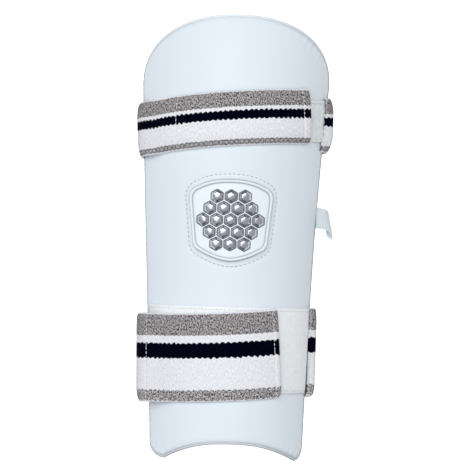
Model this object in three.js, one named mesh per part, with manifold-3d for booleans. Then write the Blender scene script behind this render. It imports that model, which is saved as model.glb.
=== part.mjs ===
import * as THREE from "three";
import { mergeVertices } from "three/addons/utils/BufferGeometryUtils.js";
import Module from "manifold-3d";

// A padded forearm and elbow guard with two elastic straps, lying face up on the straps' back runs.
// Millimetres. +X is to the right of the face, +Y runs to the elbow end, +Z comes out of the face.

// Outline of the face, seen square on: half its width at three sections, and its two ends
const WRIST = { y: -121, half: 46.1 };
const MIDDLE = { y: 0, half: 50.9 };
const ELBOW = { y: 92, half: 56.1 };
const DOME_TOP = 133.8;
const DOME_POWER = 2.3;
const TIP = { x: 40.5, y: -133.3 };
const CORNER_Y = -125.5;
const ARCH_RISE = 9.6;
const ARCH_POWER = 2.5;
const ARCH_SHIFT = 2;

// Sideways bend of the pad's middle line: the elbow end leans a little to the right
const SWAY = [
  { y: 133, x: 1.8 },
  { y: 85, x: 0.1 },
  { y: 0, x: -0.65 },
  { y: -120, x: 0.35 },
];

// Curve round the arm: half the angle that the face spans, the long edges' height and the elbow's dip
const WRAP = THREE.MathUtils.degToRad(66);
const EDGE_Z = 3.8;
const EDGE_ROLL = 0.7;
const DIP_START = 84;
const DIP = 8;

// Pad: full thickness, depth of the seam under the face, and how far in the face and the back are rounded
const PAD = 11;
const SEAM_DEPTH = 1.2;
const FACE_ROUND = 4;
const BACK_ROUND = 18;
const WELT_RADIUS = 0.8;

// Layers on the face
const GAP = 0.3;
const LOOP_TAPE = 1;
const HOOK_TAPE = 0.8;
const STRAP = 1.6;

// From the outline in to the pad's rim, past the welt
const SEAM_INSET = 2 * WELT_RADIUS + GAP;

// Straps: their bends beside the long edges, and the place of each stage of the route along Y
const BEND_Z = 4.5;
const BEND_REACH = 5;
const BEND_PULL = 0.4;
const UPPER_STRAP = {
  width: 32.9, endX: 45.7, endSlant: 1.1, leaveX: -48, rootX: 54, left: -58.25, leftSlant: 0.95, right: 59.3,
  endY: 73.5, crownY: 70.9, leaveY: 64.55, leftY: 62.55, floorLeftY: 62.55, floorRightY: 68.15,
  rootY: 69.15, rootSlant: 0.7,
};
const LOWER_STRAP = {
  width: 53.4, endX: 31.3, endSlant: 2.1, leaveX: -38, rootX: 48.7, left: -54.95, leftSlant: 0.65, right: 52.8,
  endY: -68.2, crownY: -71.3, leaveY: -72.8, leftY: -73.2, floorLeftY: -73, floorRightY: -68,
  rootY: -67.1, rootSlant: 0,
};

// Tapes: middle, rise to the right and width along Y, with the hook tape's far end and its width
const UPPER_TAPE = { y: 70.6, tilt: 0.7, width: 24.8, hookX: -37, hookWidth: 25 };
const LOWER_TAPE = { y: -66.7, tilt: 0, width: 51, hookX: -36, hookWidth: 50 };
const TAPE_INSET = { left: 5, right: 2 };
const HOOK_INSET = 2.5;

// Badge: its middle, the right half of its outline as curves from foot to top, its raised rim and its studs
const BADGE_Y = 10.4;
const SHIELD_FOOT = { x: 0, y: -24.5 };
const SHIELD_CURVES = [
  { pullX: 7.5, pullY: -24.5, x: 18.6, y: -18.4 },
  { pullX: 22.4, pullY: -17, x: 22.6, y: -11 },
  { pullX: 23.9, pullY: 1.2, x: 25.2, y: 13.5 },
  { pullX: 25.2, pullY: 18.5, x: 20.2, y: 20.1 },
  { pullX: 12.6, pullY: 24.5, x: 0, y: 24.5 },
];
const PLATE = [
  { share: 0, height: GAP },
  { share: 0.35, height: GAP },
  { share: 0.7, height: GAP },
  { share: 1, height: GAP },
  { share: 1, height: 1.6 },
  { share: 0.97, height: 2.2 },
  { share: 0.93, height: 2.2 },
  { share: 0.89, height: 1.4 },
  { share: 0.6, height: 1.4 },
  { share: 0.3, height: 1.4 },
  { share: 0, height: 1.4 },
];
const STUD = { across: 7, pitch: 8.2, rows: [3, 4, 5, 4, 3] };
const STUD_PROFILE = [
  { share: 0, height: 0.9 },
  { share: 1, height: 0.9 },
  { share: 1, height: 1.7 },
  { share: 0.6, height: 2.9 },
  { share: 0, height: 2.9 },
];

// Folded ribbon in the right seam: rows from the seam out to the fold and back under, with both sides' Y
const LABEL_THICK = 0.6;
const LABEL_TOP_REACH = 0.7;
const LABEL_FOLDS = [
  { out: 0.9, up: 0.35, topY: 19.6, lowY: 7.2 },
  { out: 3.4, up: 1, topY: 19.6, lowY: 7 },
  { out: 6, up: 1.2, topY: 19.3, lowY: 6.6 },
  { out: 8.9, up: 0.8, topY: 18.8, lowY: 5 },
  { out: 10.9, up: -0.5, topY: 17.9, lowY: 2.6 },
  { out: 10.7, up: -1.9, topY: 16.9, lowY: 0.9 },
  { out: 7.6, up: -2.4, topY: 15.6, lowY: 2.2 },
];

// Steps that the curved surfaces are cut into
const PAD_COLUMNS = 24;
const PAD_ROWS = 36;
const WELT_SIDES = 6;
const TAPE_STEPS = 20;
const BADGE_STEPS = 24;
const LABEL_STEPS = 15;
const FRONT_STEPS = 22;
const BEND_STEPS = 6;

// Value at y on the smooth curve through the values of given rows
function curveThrough(rows, key, y) {
  const share = (row) => {
    const others = rows.filter((other) => other !== row);
    return others.reduce((part, other) => (part * (y - other.y)) / (row.y - other.y), 1);
  };
  return rows.reduce((sum, row) => sum + row[key] * share(row), 0);
}

// Half the face's width at y, level past the elbow, and its middle's place to the side
const halfWidth = (y) => curveThrough([WRIST, MIDDLE, ELBOW], "half", Math.min(y, ELBOW.y));
const sway = (y) => curveThrough(SWAY, "x", y);

// Radius and axis height of the face's round section at y
function radius(y) {
  return (halfWidth(y) + EDGE_ROLL) / Math.sin(WRAP);
}

function axisZ(y) {
  const along = Math.max(0, (y - DIP_START) / (DOME_TOP - DIP_START));
  return EDGE_Z - radius(y) * Math.cos(WRAP) - DIP * along ** 2;
}

// The point at an angle from the crown, at y, a height above the face
function onGuard(angle, y, height) {
  const r = radius(y) + height;
  return new THREE.Vector3(sway(y) + r * Math.sin(angle), y, axisZ(y) + r * Math.cos(angle));
}

// Ends of the outline, at a share of the half width from -1 to 1, moved in by an inset
function elbowEnd(share, inset) {
  const rise = DOME_TOP - ELBOW.y - inset;
  return ELBOW.y + rise * Math.max(0, 1 - Math.abs(share) ** DOME_POWER) ** (1 / DOME_POWER);
}

function wristEnd(share, inset) {
  const x = Math.abs(share * WRIST.half - ARCH_SHIFT);
  const last = WRIST.half - Math.sign(share) * ARCH_SHIFT;
  const arch = TIP.y + ARCH_RISE * (1 - Math.min(1, x / TIP.x) ** ARCH_POWER);
  const past = Math.max(0, x - TIP.x) / (last - TIP.x);
  const corner = CORNER_Y - TIP.y;
  return arch + corner * (1 - Math.sqrt(Math.max(0, 1 - past ** 2))) + inset;
}

// Closed solid between two grids of points, with j to the right and i upwards seen from the front
function closedSheet(front, back, walled = true) {
  const rows = front.length;
  const columns = front[0].length;
  const under = rows * columns;
  const faces = [];
  const quad = (a, b, c, d) => faces.push(a, b, c, a, c, d);
  for (let i = 0; i < rows - 1; i++) {
    for (let j = 0; j < columns - 1; j++) {
      const a = i * columns + j;
      const d = a + columns;
      quad(a, a + 1, d + 1, d);
      quad(under + d, under + d + 1, under + a + 1, under + a);
    }
  }
  for (let j = 0; walled && j < columns - 1; j++) {
    const last = (rows - 1) * columns + j;
    quad(under + j, under + j + 1, j + 1, j);
    quad(last, last + 1, under + last + 1, under + last);
  }
  for (let i = 0; walled && i < rows - 1; i++) {
    const left = i * columns;
    const right = left + columns - 1;
    quad(left, left + columns, under + left + columns, under + left);
    quad(under + right, under + right + columns, right + columns, right);
  }
  return meshGeometry([...front.flat(), ...back.flat()], faces);
}

function meshGeometry(points, faces) {
  const geometry = new THREE.BufferGeometry().setFromPoints(points).setIndex(faces);
  const welded = mergeVertices(geometry, 1e-3);
  const kept = [];
  for (let k = 0; k < welded.index.count; k += 3) {
    const corners = [0, 1, 2].map((n) => welded.index.getX(k + n));
    if (new Set(corners).size === 3) kept.push(...corners);
  }
  welded.setIndex(kept);
  welded.computeVertexNormals();
  return welded;
}

// Padded body: a grid of angle and y inside the seam, as plan points to be lifted to the face and the back
function padPlan() {
  const plan = [];
  for (let i = 0; i <= PAD_ROWS; i++) {
    const along = (1 - Math.cos((Math.PI * i) / PAD_ROWS)) / 2;
    const row = [];
    for (let j = 0; j <= PAD_COLUMNS; j++) {
      const across = Math.sin((Math.PI / 2) * ((2 * j) / PAD_COLUMNS - 1));
      const share = Math.sin(across * WRAP) / Math.sin(WRAP);
      const y = THREE.MathUtils.lerp(wristEnd(share, SEAM_INSET), elbowEnd(share, SEAM_INSET), along);
      row.push({ angle: across * (WRAP - SEAM_INSET / radius(y)), y });
    }
    plan.push(row);
  }
  return plan;
}

// A plan point rolled out flat, and the rim of a plan in order round the outline
const flat = ({ angle, y }) => new THREE.Vector2(radius(y) * angle, y);

function rimOf(plan) {
  const last = plan.length - 1;
  const right = plan.slice(0, last).map((row) => row[row.length - 1]);
  const left = plan.slice(1).map((row) => row[0]).reverse();
  return [...plan[0].slice(0, -1), ...right, ...plan[last].slice(1).reverse(), ...left];
}

function distanceToRim(point, rim) {
  const nearest = new THREE.Vector2();
  return Math.min(
    ...rim.map((start, k) => {
      const side = rim[(k + 1) % rim.length].clone().sub(start);
      const share = THREE.MathUtils.clamp(point.clone().sub(start).dot(side) / side.lengthSq(), 0, 1);
      return nearest.copy(start).addScaledVector(side, share).distanceTo(point);
    }),
  );
}

// Share of a quarter round reached at a distance from the rim
const quarterRound = (distance, width) => Math.sqrt(1 - (1 - Math.min(1, distance / width)) ** 2);

const faceDepth = (distance) => SEAM_DEPTH * (1 - quarterRound(distance, FACE_ROUND));
const backDepth = (distance) => SEAM_DEPTH + (PAD - SEAM_DEPTH) * quarterRound(distance, BACK_ROUND);

const padGrid = padPlan();
const padRim = rimOf(padGrid);
const flatRim = padRim.map(flat);

function padBody() {
  const lift = (spot, depth) => onGuard(spot.angle, spot.y, -depth(distanceToRim(flat(spot), flatRim)));
  const lifted = (depth) => padGrid.map((row) => row.map((spot) => lift(spot, depth)));
  return closedSheet(lifted(faceDepth), lifted(backDepth), false);
}

// Rolled seam: a round roll just outside the pad's rim, with a ring of points at each point of the rim
function edgeWelt() {
  const out = GAP + WELT_RADIUS;
  const count = flatRim.length;
  const points = [];
  const faces = [];
  flatRim.forEach((spot, k) => {
    const before = spot.clone().sub(flatRim[(k + count - 1) % count]).normalize();
    const after = flatRim[(k + 1) % count].clone().sub(spot).normalize();
    const along = before.clone().add(after).normalize();
    const outward = new THREE.Vector2(along.y, -along.x).divideScalar(along.dot(after));
    for (let side = 0; side < WELT_SIDES; side++) {
      const turn = (2 * Math.PI * side) / WELT_SIDES;
      const { x, y } = spot.clone().addScaledVector(outward, out + WELT_RADIUS * Math.cos(turn));
      points.push(onGuard(x / radius(y), y, WELT_RADIUS * Math.sin(turn) - SEAM_DEPTH));
      const here = k * WELT_SIDES;
      const next = ((k + 1) % count) * WELT_SIDES;
      const beside = (side + 1) % WELT_SIDES;
      faces.push(here + side, next + side, next + beside, here + side, next + beside, here + beside);
    }
  });
  return meshGeometry(points, faces);
}

// Loop tape: a band across the face that follows the rounded long edges
function loopTape(tape) {
  const layer = (height) =>
    [-1, 1].map((side) => {
      const y = tape.y + (side * tape.width) / 2;
      const rim = WRAP - SEAM_INSET / radius(y);
      const [left, right] = [TAPE_INSET.left, TAPE_INSET.right].map((inset) => rim - inset / radius(y));
      return Array.from({ length: TAPE_STEPS + 1 }, (_, k) => {
        const across = Math.sin((Math.PI / 2) * ((2 * k) / TAPE_STEPS - 1));
        const angle = across * (across < 0 ? left : right);
        const drop = faceDepth((rim - Math.abs(angle)) * radius(y));
        return onGuard(angle, y + (tape.tilt * angle) / WRAP, height - drop);
      });
    });
  return closedSheet(layer(GAP + LOOP_TAPE), layer(GAP));
}

// Strap: the height of its middle over the face on top of the tapes, and its root straight on the loop tape
const STRAP_RISE = 3 * GAP + LOOP_TAPE + HOOK_TAPE + STRAP / 2;
const ROOT_RISE = 2 * GAP + LOOP_TAPE + STRAP / 2;

// Stages of a strap's route in the section at one of its sides, from the free end round to the root
function strapStages(strap, side) {
  const offset = (side * strap.width) / 2;
  const at = (y) => ({ x: sway(y + offset), r: radius(y + offset), z: axisZ(y + offset) });
  const over = (place, x, rise) => {
    const angle = Math.asin((x - place.x) / (place.r + rise));
    const spot = new THREE.Vector2(x, place.z + (place.r + rise) * Math.cos(angle));
    return { angle, spot, along: new THREE.Vector2(-Math.cos(angle), Math.sin(angle)) };
  };
  const crown = at(strap.crownY);
  const end = over(crown, strap.endX - side * strap.endSlant, STRAP_RISE);
  const leave = over(at(strap.leaveY), strap.leaveX, STRAP_RISE);
  const root = over(at(strap.rootY), strap.rootX + side * strap.rootSlant, ROOT_RISE);
  const left = new THREE.Vector2(strap.left - side * strap.leftSlant + STRAP / 2, BEND_Z);
  const right = new THREE.Vector2(strap.right - STRAP / 2, BEND_Z);
  const floorLeft = new THREE.Vector2(left.x + BEND_REACH, STRAP / 2);
  const floorRight = new THREE.Vector2(right.x - BEND_REACH, STRAP / 2);
  const up = new THREE.Vector2(0, 1);
  const east = new THREE.Vector2(1, 0);
  return {
    offset,
    end,
    leave,
    bends: [
      { path: bend(leave.spot, leave.along, left, up.clone().negate()), fromY: strap.leaveY, toY: strap.leftY },
      { path: bend(left, up.clone().negate(), floorLeft, east), fromY: strap.leftY, toY: strap.floorLeftY },
      { path: bend(floorRight, east, right, up), fromY: strap.floorRightY, toY: strap.rootY },
      { path: bend(right, up, root.spot, root.along), fromY: strap.rootY, toY: strap.rootY },
    ],
  };
}

// Smooth bend between two points with given directions
function bend(from, fromAlong, to, toAlong) {
  const handle = from.distanceTo(to) * BEND_PULL;
  const first = from.clone().addScaledVector(fromAlong, handle);
  const second = to.clone().addScaledVector(toAlong, -handle);
  return new THREE.CubicBezierCurve(from, first, second, to);
}

// One side of the strap as points with outward normals: the run over the face, then the bends
function strapSide(strap, side) {
  const { offset, end, leave, bends } = strapStages(strap, side);
  const frontLine = new THREE.QuadraticBezierCurve(
    new THREE.Vector2(end.angle, strap.endY),
    new THREE.Vector2((end.angle + leave.angle) / 2, 2 * strap.crownY - (strap.endY + strap.leaveY) / 2),
    new THREE.Vector2(leave.angle, strap.leaveY),
  );
  const front = frontLine.getPoints(FRONT_STEPS).map(({ x: angle, y }) => ({
    point: onGuard(angle, y + offset, STRAP_RISE),
    normal: new THREE.Vector3(Math.sin(angle), 0, Math.cos(angle)),
  }));
  const bent = bends.flatMap(({ path, fromY, toY }, stage) =>
    Array.from({ length: BEND_STEPS + 1 }, (_, k) => {
      const share = k / BEND_STEPS;
      const spot = path.getPoint(share);
      const along = path.getTangent(share);
      const y = THREE.MathUtils.lerp(fromY, toY, share) + offset;
      return { point: new THREE.Vector3(spot.x, y, spot.y), normal: new THREE.Vector3(along.y, 0, -along.x) };
    }).slice(stage === 2 ? 0 : 1),
  );
  return { front, all: [...front, ...bent] };
}

// Solid between two offsets from a strap's middle, through stations given for its two sides
function strapSolid(low, high, inner, outer) {
  const layer = (offset) =>
    low.map((_, k) => [low, high].map((side) => side[k].point.clone().addScaledVector(side[k].normal, offset)));
  return closedSheet(layer(outer), layer(inner));
}

function strapBand(strap) {
  return strapSolid(strapSide(strap, -1).all, strapSide(strap, 1).all, -STRAP / 2, STRAP / 2);
}

// Hook tape: under the strap's free end, as far as its inner end
function hookTape(strap, tape) {
  const narrow = { ...strap, width: tape.hookWidth, endX: strap.endX - HOOK_INSET };
  const under = (side) => strapSide(narrow, side).front.filter(({ point }) => point.x > tape.hookX);
  const [low, high] = [under(-1), under(1)];
  const count = Math.min(low.length, high.length);
  const outer = -STRAP / 2 - GAP;
  return strapSolid(low.slice(0, count), high.slice(0, count), outer - HOOK_TAPE, outer);
}

// Plate swept round a closed outline: each profile row is the outline drawn in to a share, at a height
function sweptPlate(outline, profile, centre) {
  const points = [];
  const faces = [];
  const count = outline.length;
  const onFace = (x, y, height) => onGuard(x / radius(y), y, height);
  for (const { share, height } of profile) {
    outline.forEach(({ x, y }) => points.push(onFace(centre.x + x * share, centre.y + y * share, height)));
  }
  for (let i = 0; i < profile.length - 1; i++) {
    for (let k = 0; k < count; k++) {
      const [a, b] = [i * count + k, i * count + ((k + 1) % count)];
      faces.push(a, b, b + count, a, b + count, a + count);
    }
  }
  return meshGeometry(points, faces);
}

// Shield outline of the badge: its right half from foot to top, then the same mirrored
function badgeOutline() {
  const half = new THREE.Path();
  half.moveTo(SHIELD_FOOT.x, SHIELD_FOOT.y);
  SHIELD_CURVES.forEach(({ pullX, pullY, x, y }) => half.quadraticCurveTo(pullX, pullY, x, y));
  const right = half.getSpacedPoints(BADGE_STEPS);
  const left = right.slice(1, -1).reverse();
  return [...right, ...left.map(({ x, y }) => new THREE.Vector2(-x, y))];
}

// Badge: the plate joined with its honeycomb of studs
async function badgePlate() {
  const wasm = await Module();
  wasm.setup();
  const solid = (geometry) => {
    const bare = geometry.clone();
    bare.deleteAttribute("normal");
    const vertProperties = new Float32Array(bare.attributes.position.array);
    const triVerts = new Uint32Array(bare.index.array);
    return new wasm.Manifold(new wasm.Mesh({ numProp: 3, vertProperties, triVerts }));
  };
  const hexagon = Array.from({ length: 6 }, (_, k) => {
    const turn = (Math.PI * (2 * k + 1)) / 6;
    return new THREE.Vector2(Math.cos(turn), Math.sin(turn)).multiplyScalar(STUD.across / Math.sqrt(3));
  });
  let plate = solid(sweptPlate(badgeOutline(), PLATE, new THREE.Vector2(0, BADGE_Y)));
  STUD.rows.forEach((studs, row) => {
    const y = BADGE_Y + ((STUD.rows.length - 1) / 2 - row) * STUD.pitch * Math.sin(Math.PI / 3);
    for (let k = 0; k < studs; k++) {
      const centre = new THREE.Vector2((k - (studs - 1) / 2) * STUD.pitch, y);
      plate = plate.add(solid(sweptPlate(hexagon, STUD_PROFILE, centre)));
    }
  });
  const joined = plate.getMesh();
  const geometry = new THREE.BufferGeometry();
  geometry.setAttribute("position", new THREE.BufferAttribute(new Float32Array(joined.vertProperties), 3));
  geometry.setIndex([...joined.triVerts]);
  geometry.computeVertexNormals();
  return geometry;
}

// Folded ribbon: out of the seam above the welt, round a slanted fold, and back below
function sideLabel() {
  const [first] = LABEL_FOLDS;
  const middle = (first.topY + first.lowY) / 2;
  const seam = onGuard(WRAP - SEAM_INSET / radius(middle), middle, -SEAM_DEPTH);
  const side = (reach, key) =>
    new THREE.CatmullRomCurve3(
      LABEL_FOLDS.map((fold) => {
        const x = seam.x + first.out + (fold.out - first.out) * reach;
        return new THREE.Vector3(x, fold[key], seam.z + fold.up);
      }),
    );
  const sides = [side(LABEL_TOP_REACH, "topY"), side(1, "lowY")];
  const layer = (offset) =>
    Array.from({ length: LABEL_STEPS + 1 }, (_, k) =>
      sides.map((route) => {
        const along = route.getTangent(k / LABEL_STEPS).setY(0).normalize();
        const normal = new THREE.Vector3(-along.z, 0, along.x);
        return route.getPoint(k / LABEL_STEPS).addScaledVector(normal, offset);
      }),
    );
  return closedSheet(layer(LABEL_THICK / 2), layer(-LABEL_THICK / 2));
}

// Each sub-part with the colour and finish of its own material
function piece(name, geometry, color, roughness) {
  const mesh = new THREE.Mesh(geometry, new THREE.MeshStandardMaterial({ color, roughness }));
  mesh.name = name;
  return mesh;
}

const guard = new THREE.Group();
guard.add(
  piece("guard_body", padBody(), 0xe4edf5, 0.5),
  piece("edge_welt", edgeWelt(), 0xd8e0e8, 0.5),
  piece("badge", await badgePlate(), 0xd2d8de, 0.4),
  piece("upper_loop_tape", loopTape(UPPER_TAPE), 0xd4d6d6, 0.95),
  piece("lower_loop_tape", loopTape(LOWER_TAPE), 0xe0e4e2, 0.95),
  piece("upper_hook_tape", hookTape(UPPER_STRAP, UPPER_TAPE), 0xe6e8ea, 0.6),
  piece("lower_hook_tape", hookTape(LOWER_STRAP, LOWER_TAPE), 0xe6e8ea, 0.6),
  piece("upper_strap", strapBand(UPPER_STRAP), 0x9a9496, 0.9),
  piece("lower_strap", strapBand(LOWER_STRAP), 0x9a9496, 0.9),
  piece("side_label", sideLabel(), 0xf2f4f2, 0.7),
);

export default guard;
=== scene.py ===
# %% [markdown]
# # A padded elbow guard
# The guard is a moulded foam pad in a white coated cover. It is domed over the elbow, arched at the
# wrist and curved round the forearm, and two striped elastic straps hold it on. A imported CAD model
# gives the place and size of every piece. This lesson keeps that frame and puts finer pieces on it.

import math

import bpy
import numpy as np
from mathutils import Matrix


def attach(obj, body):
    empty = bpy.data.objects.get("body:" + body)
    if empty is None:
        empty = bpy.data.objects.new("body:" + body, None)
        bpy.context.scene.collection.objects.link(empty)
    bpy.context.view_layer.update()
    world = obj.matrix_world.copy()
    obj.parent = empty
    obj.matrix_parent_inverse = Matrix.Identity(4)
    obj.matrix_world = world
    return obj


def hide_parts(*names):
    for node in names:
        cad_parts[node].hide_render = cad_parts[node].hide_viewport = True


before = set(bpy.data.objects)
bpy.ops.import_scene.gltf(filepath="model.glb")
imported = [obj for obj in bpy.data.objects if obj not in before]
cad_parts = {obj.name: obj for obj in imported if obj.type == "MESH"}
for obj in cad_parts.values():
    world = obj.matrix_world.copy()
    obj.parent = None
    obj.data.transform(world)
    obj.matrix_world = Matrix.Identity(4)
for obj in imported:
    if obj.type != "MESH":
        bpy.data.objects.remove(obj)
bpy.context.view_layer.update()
print("nodes:", ", ".join(sorted(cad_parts)))

# %% [markdown]
# ## Camera
# The guard is seen square on, from far enough away that its two ends look equally near. An orthographic
# camera would show that too, but a long lens high above the pad keeps the trace of perspective that a
# real picture has. One pixel of the square picture is 0.6 mm at the height that the camera aims at, and
# the guard leans a little to the right, which becomes a small roll of the camera.

# %% Camera
PIXELS = 474
PIXEL_MM = 0.6
AIM = (0.00346, 0.00058, 0.012)
CAMERA_HEIGHT = 3.0
ROLL = math.radians(1.7)

scene = bpy.context.scene
lens = bpy.data.cameras.new("camera")
lens.lens = lens.sensor_width * (CAMERA_HEIGHT - AIM[2]) / (PIXELS * PIXEL_MM / 1000)
camera = bpy.data.objects.new("camera", lens)
camera.location = (AIM[0], AIM[1], CAMERA_HEIGHT)
camera.rotation_euler = (0, 0, ROLL)
scene.collection.objects.link(camera)
scene.camera = camera
print(f"camera: {lens.lens:.0f} mm lens, {CAMERA_HEIGHT} m up")

# %% [markdown]
# ## Shader arithmetic
# A finish is a formula: a stripe is a place compared with an edge, and a knit is a sine of it. Node
# links hide such formulas, so one small class wraps a socket and lets Python's own operators add the
# Math nodes. Its `node` method makes every other kind of node.


# %% Wires
class Wire:
    """An output socket of a material's nodes. Arithmetic on wires adds Math nodes."""

    def __init__(self, tree, socket=None):
        self.tree = tree
        self.socket = socket

    def node(self, kind, settings=None, sockets=None, output=0):
        """Adds a node, sets it up, fills its sockets and returns one output, or several if asked."""
        made = self.tree.nodes.new("ShaderNode" + kind)
        for setting, value in (settings or {}).items():
            setattr(made, setting, value)
        for socket, value in (sockets or {}).items():
            self.plug(made.inputs[socket], value)
        if isinstance(output, tuple):
            return [Wire(self.tree, made.outputs[key]) for key in output]
        return Wire(self.tree, made.outputs[output])

    def plug(self, socket, value):
        if isinstance(value, Wire):
            self.tree.links.new(value.socket, socket)
        else:
            socket.default_value = value

    def math(self, operation, *values, clamp=False):
        return self.node("Math", {"operation": operation, "use_clamp": clamp}, dict(enumerate(values)))

    def mix(self, mask, first, second):
        """Colour that goes from first to second as the mask goes from 0 to 1."""
        return self.node("Mix", {"data_type": "RGBA"}, {0: mask, 6: first, 7: second}, output=2)

    def noise(self, place, scale, detail=2.0):
        return self.node("TexNoise", None, {"Vector": place, "Scale": scale, "Detail": detail})

    def wave(self, turns):
        """Sine of whole turns, from 0 to 1."""
        return self.math("SINE", turns * math.tau) * 0.5 + 0.5

    def step(self, value, soft):
        """0 well below nought and 1 well above it, with a soft edge that wide."""
        return self.math("ADD", value / soft, 0.5, clamp=True)

    def __add__(self, other):
        return self.math("ADD", self, other)

    def __sub__(self, other):
        return self.math("SUBTRACT", self, other)

    def __rsub__(self, other):
        return self.math("SUBTRACT", other, self)

    def __mul__(self, other):
        return self.math("MULTIPLY", self, other)

    def __truediv__(self, other):
        return self.math("DIVIDE", self, other)

    __radd__ = __add__
    __rmul__ = __mul__


# %% Materials
class Finish:
    """A new material with a Principled shader, its fixed values, and a wire to start formulas from."""

    def __init__(self, name, **fixed):
        self.material = bpy.data.materials.new(name)
        self.material.use_nodes = True
        tree = self.material.node_tree
        self.shader = tree.nodes["Principled BSDF"]
        self.wire = Wire(tree)
        for socket, value in fixed.items():
            self.shader.inputs[socket.replace("_", " ")].default_value = value

    def feed(self, socket, value):
        self.wire.plug(self.shader.inputs[socket], value)

    def field(self, name):
        """What a mesh keeps at each point under this name: one vector, then its three numbers."""
        place = self.wire.node("Attribute", {"attribute_name": name}, output="Vector")
        return [place, *self.wire.node("SeparateXYZ", None, {0: place}, output=("X", "Y", "Z"))]

    def bump(self, height, depth_mm, strength=1.0):
        sockets = {"Height": height, "Distance": depth_mm / 1000, "Strength": strength}
        self.feed("Normal", self.wire.node("Bump", None, sockets))


def srgb(red, green, blue):
    """Linear colour of a screen colour given from 0 to 255."""
    parts = np.array([red, green, blue]) / 255
    linear = np.where(parts <= 0.04045, parts / 12.92, ((parts + 0.055) / 1.055) ** 2.4)
    return (*linear.tolist(), 1.0)


print("white is", srgb(255, 255, 255))

# %% [markdown]
# ## Light and floor
# A white pad on white paper shows its roundness only if the light has a direction. Several lamps would
# leave several shadows, so one large soft light stands high up, towards the elbow end and a little to
# the left, and a sky fills the rest. The sky is dimmer below the horizon and dark past both ends, so
# that silver has something to mirror. The paper glows a little, as a light table does, and throws no
# light back up. The plain view transform leaves the colours as they are.

# %% Light
SKY, BELOW, ENDS = 0.7, 0.42, 0.16
SKY_FADE = 0.3
END_STARTS = 0.75
KEY = {"place": (-0.8, 1.3, 3.9), "size": 3.4, "watts": 90}

scene.view_settings.view_transform = "Standard"
world = bpy.data.worlds.new("even_sky")
world.use_nodes = True
scene.world = world
sky = Wire(world.node_tree)
towards = sky.node("TexCoord", output="Generated")
end, height = sky.node("SeparateXYZ", None, {0: towards}, output=("Y", "Z"))
glow = sky.mix(sky.step(height, SKY_FADE), (BELOW, BELOW, BELOW, 1), (SKY, SKY, SKY, 1))
past_end = sky.step(sky.math("ABSOLUTE", end) - END_STARTS, SKY_FADE)
glow = sky.mix(past_end, glow, (ENDS, ENDS, ENDS, 1))
sky.plug(world.node_tree.nodes["Background"].inputs["Color"], glow)

light = bpy.data.lights.new("key_light", "AREA")
light.size = KEY["size"]
light.energy = KEY["watts"]
key_light = bpy.data.objects.new("key_light", light)
key_light.location = KEY["place"]
key_light.rotation_euler = (-key_light.location).to_track_quat("-Z", "Y").to_euler()
scene.collection.objects.link(key_light)
print("light: sky", SKY, "and a key of", KEY["watts"], "W")

# %% Floor
FLOOR_SIZE = 16.0
FLOOR_Z = -0.0003
FLOOR_GLOW = 0.85

paper_finish = Finish("white_paper", Roughness=0.9, Emission_Color=(1, 1, 1, 1), Emission_Strength=FLOOR_GLOW)
paper_place = paper_finish.wire.node("TexCoord", output="Object")
paper_tone = paper_finish.wire.noise(paper_place, 3.0)
paper_finish.feed("Base Color", paper_finish.wire.mix(paper_tone, srgb(250, 250, 251), srgb(253, 253, 253)))
half = FLOOR_SIZE / 2
paper_corners = [(x, y, FLOOR_Z) for x, y in ((-half, -half), (half, -half), (half, half), (-half, half))]
paper = bpy.data.meshes.new("floor")
paper.from_pydata(paper_corners, [], [(0, 1, 2, 3)])
paper.materials.append(paper_finish.material)
floor = bpy.data.objects.new("floor", paper)
floor.visible_diffuse = False
scene.collection.objects.link(floor)
print("floor:", FLOOR_SIZE, "m of paper")

# %% [markdown]
# ## Shape of the guard
# Seen from an end, the face is an arc of a circle. Its radius grows from wrist to elbow, and its axis
# dips under the dome. The CAD solids could be subdivided, but their flats would show. The same few
# formulas that made them, here in millimetres, give a finer mesh that lands on the same place.

# %% Section of the guard
MM = 0.001
WRAP = math.radians(66)
ELBOW_Y = 92
SECTIONS = {"y": (-121, 0, ELBOW_Y), "half": (46.1, 50.9, 56.1)}
WIDTH_CURVE = np.polyfit(SECTIONS["y"], SECTIONS["half"], 2)
SWAY_CURVE = np.polyfit((133, 85, 0, -120), (1.8, 0.1, -0.65, 0.35), 3)
EDGE_Z = 3.8
EDGE_ROLL = 0.7
DOME_TOP = 133.8
DIP_START = 84
DIP = 8


def radius(y):
    return (np.polyval(WIDTH_CURVE, np.minimum(y, ELBOW_Y)) + EDGE_ROLL) / math.sin(WRAP)


def sway(y):
    """Place of the pad's middle line to the side: the elbow end leans a little to the right."""
    return np.polyval(SWAY_CURVE, y)


def axis_z(y):
    along = np.maximum(0, (y - DIP_START) / (DOME_TOP - DIP_START))
    return EDGE_Z - radius(y) * math.cos(WRAP) - DIP * along**2


def on_guard(angle, y, height):
    """Points at an angle from the crown, at y, a height above the face."""
    angle, y, height = np.broadcast_arrays(angle, y, height)
    reach = radius(y) + height
    return np.stack([sway(y) + reach * np.sin(angle), y, axis_z(y) + reach * np.cos(angle)], axis=-1)


def out_of_face(angle):
    """Direction out of the face at an angle from the crown."""
    return np.stack([np.sin(angle), np.zeros_like(angle), np.cos(angle)], axis=-1)


print("radius at wrist and elbow:", np.round(radius(np.array([-121, 92])), 1))

# %% Ends of the outline
DOME_POWER = 2.3
TIP_X, TIP_Y = 40.5, -133.3
CORNER_Y = -125.5
ARCH_RISE = 9.6
ARCH_POWER = 2.5
ARCH_SHIFT = 2
WRIST_HALF = SECTIONS["half"][0]


def elbow_end(share, inset):
    """Y of the dome's edge at a share of the half width, moved in by an inset."""
    rise = DOME_TOP - ELBOW_Y - inset
    return ELBOW_Y + rise * np.maximum(0, 1 - np.abs(share) ** DOME_POWER) ** (1 / DOME_POWER)


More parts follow.
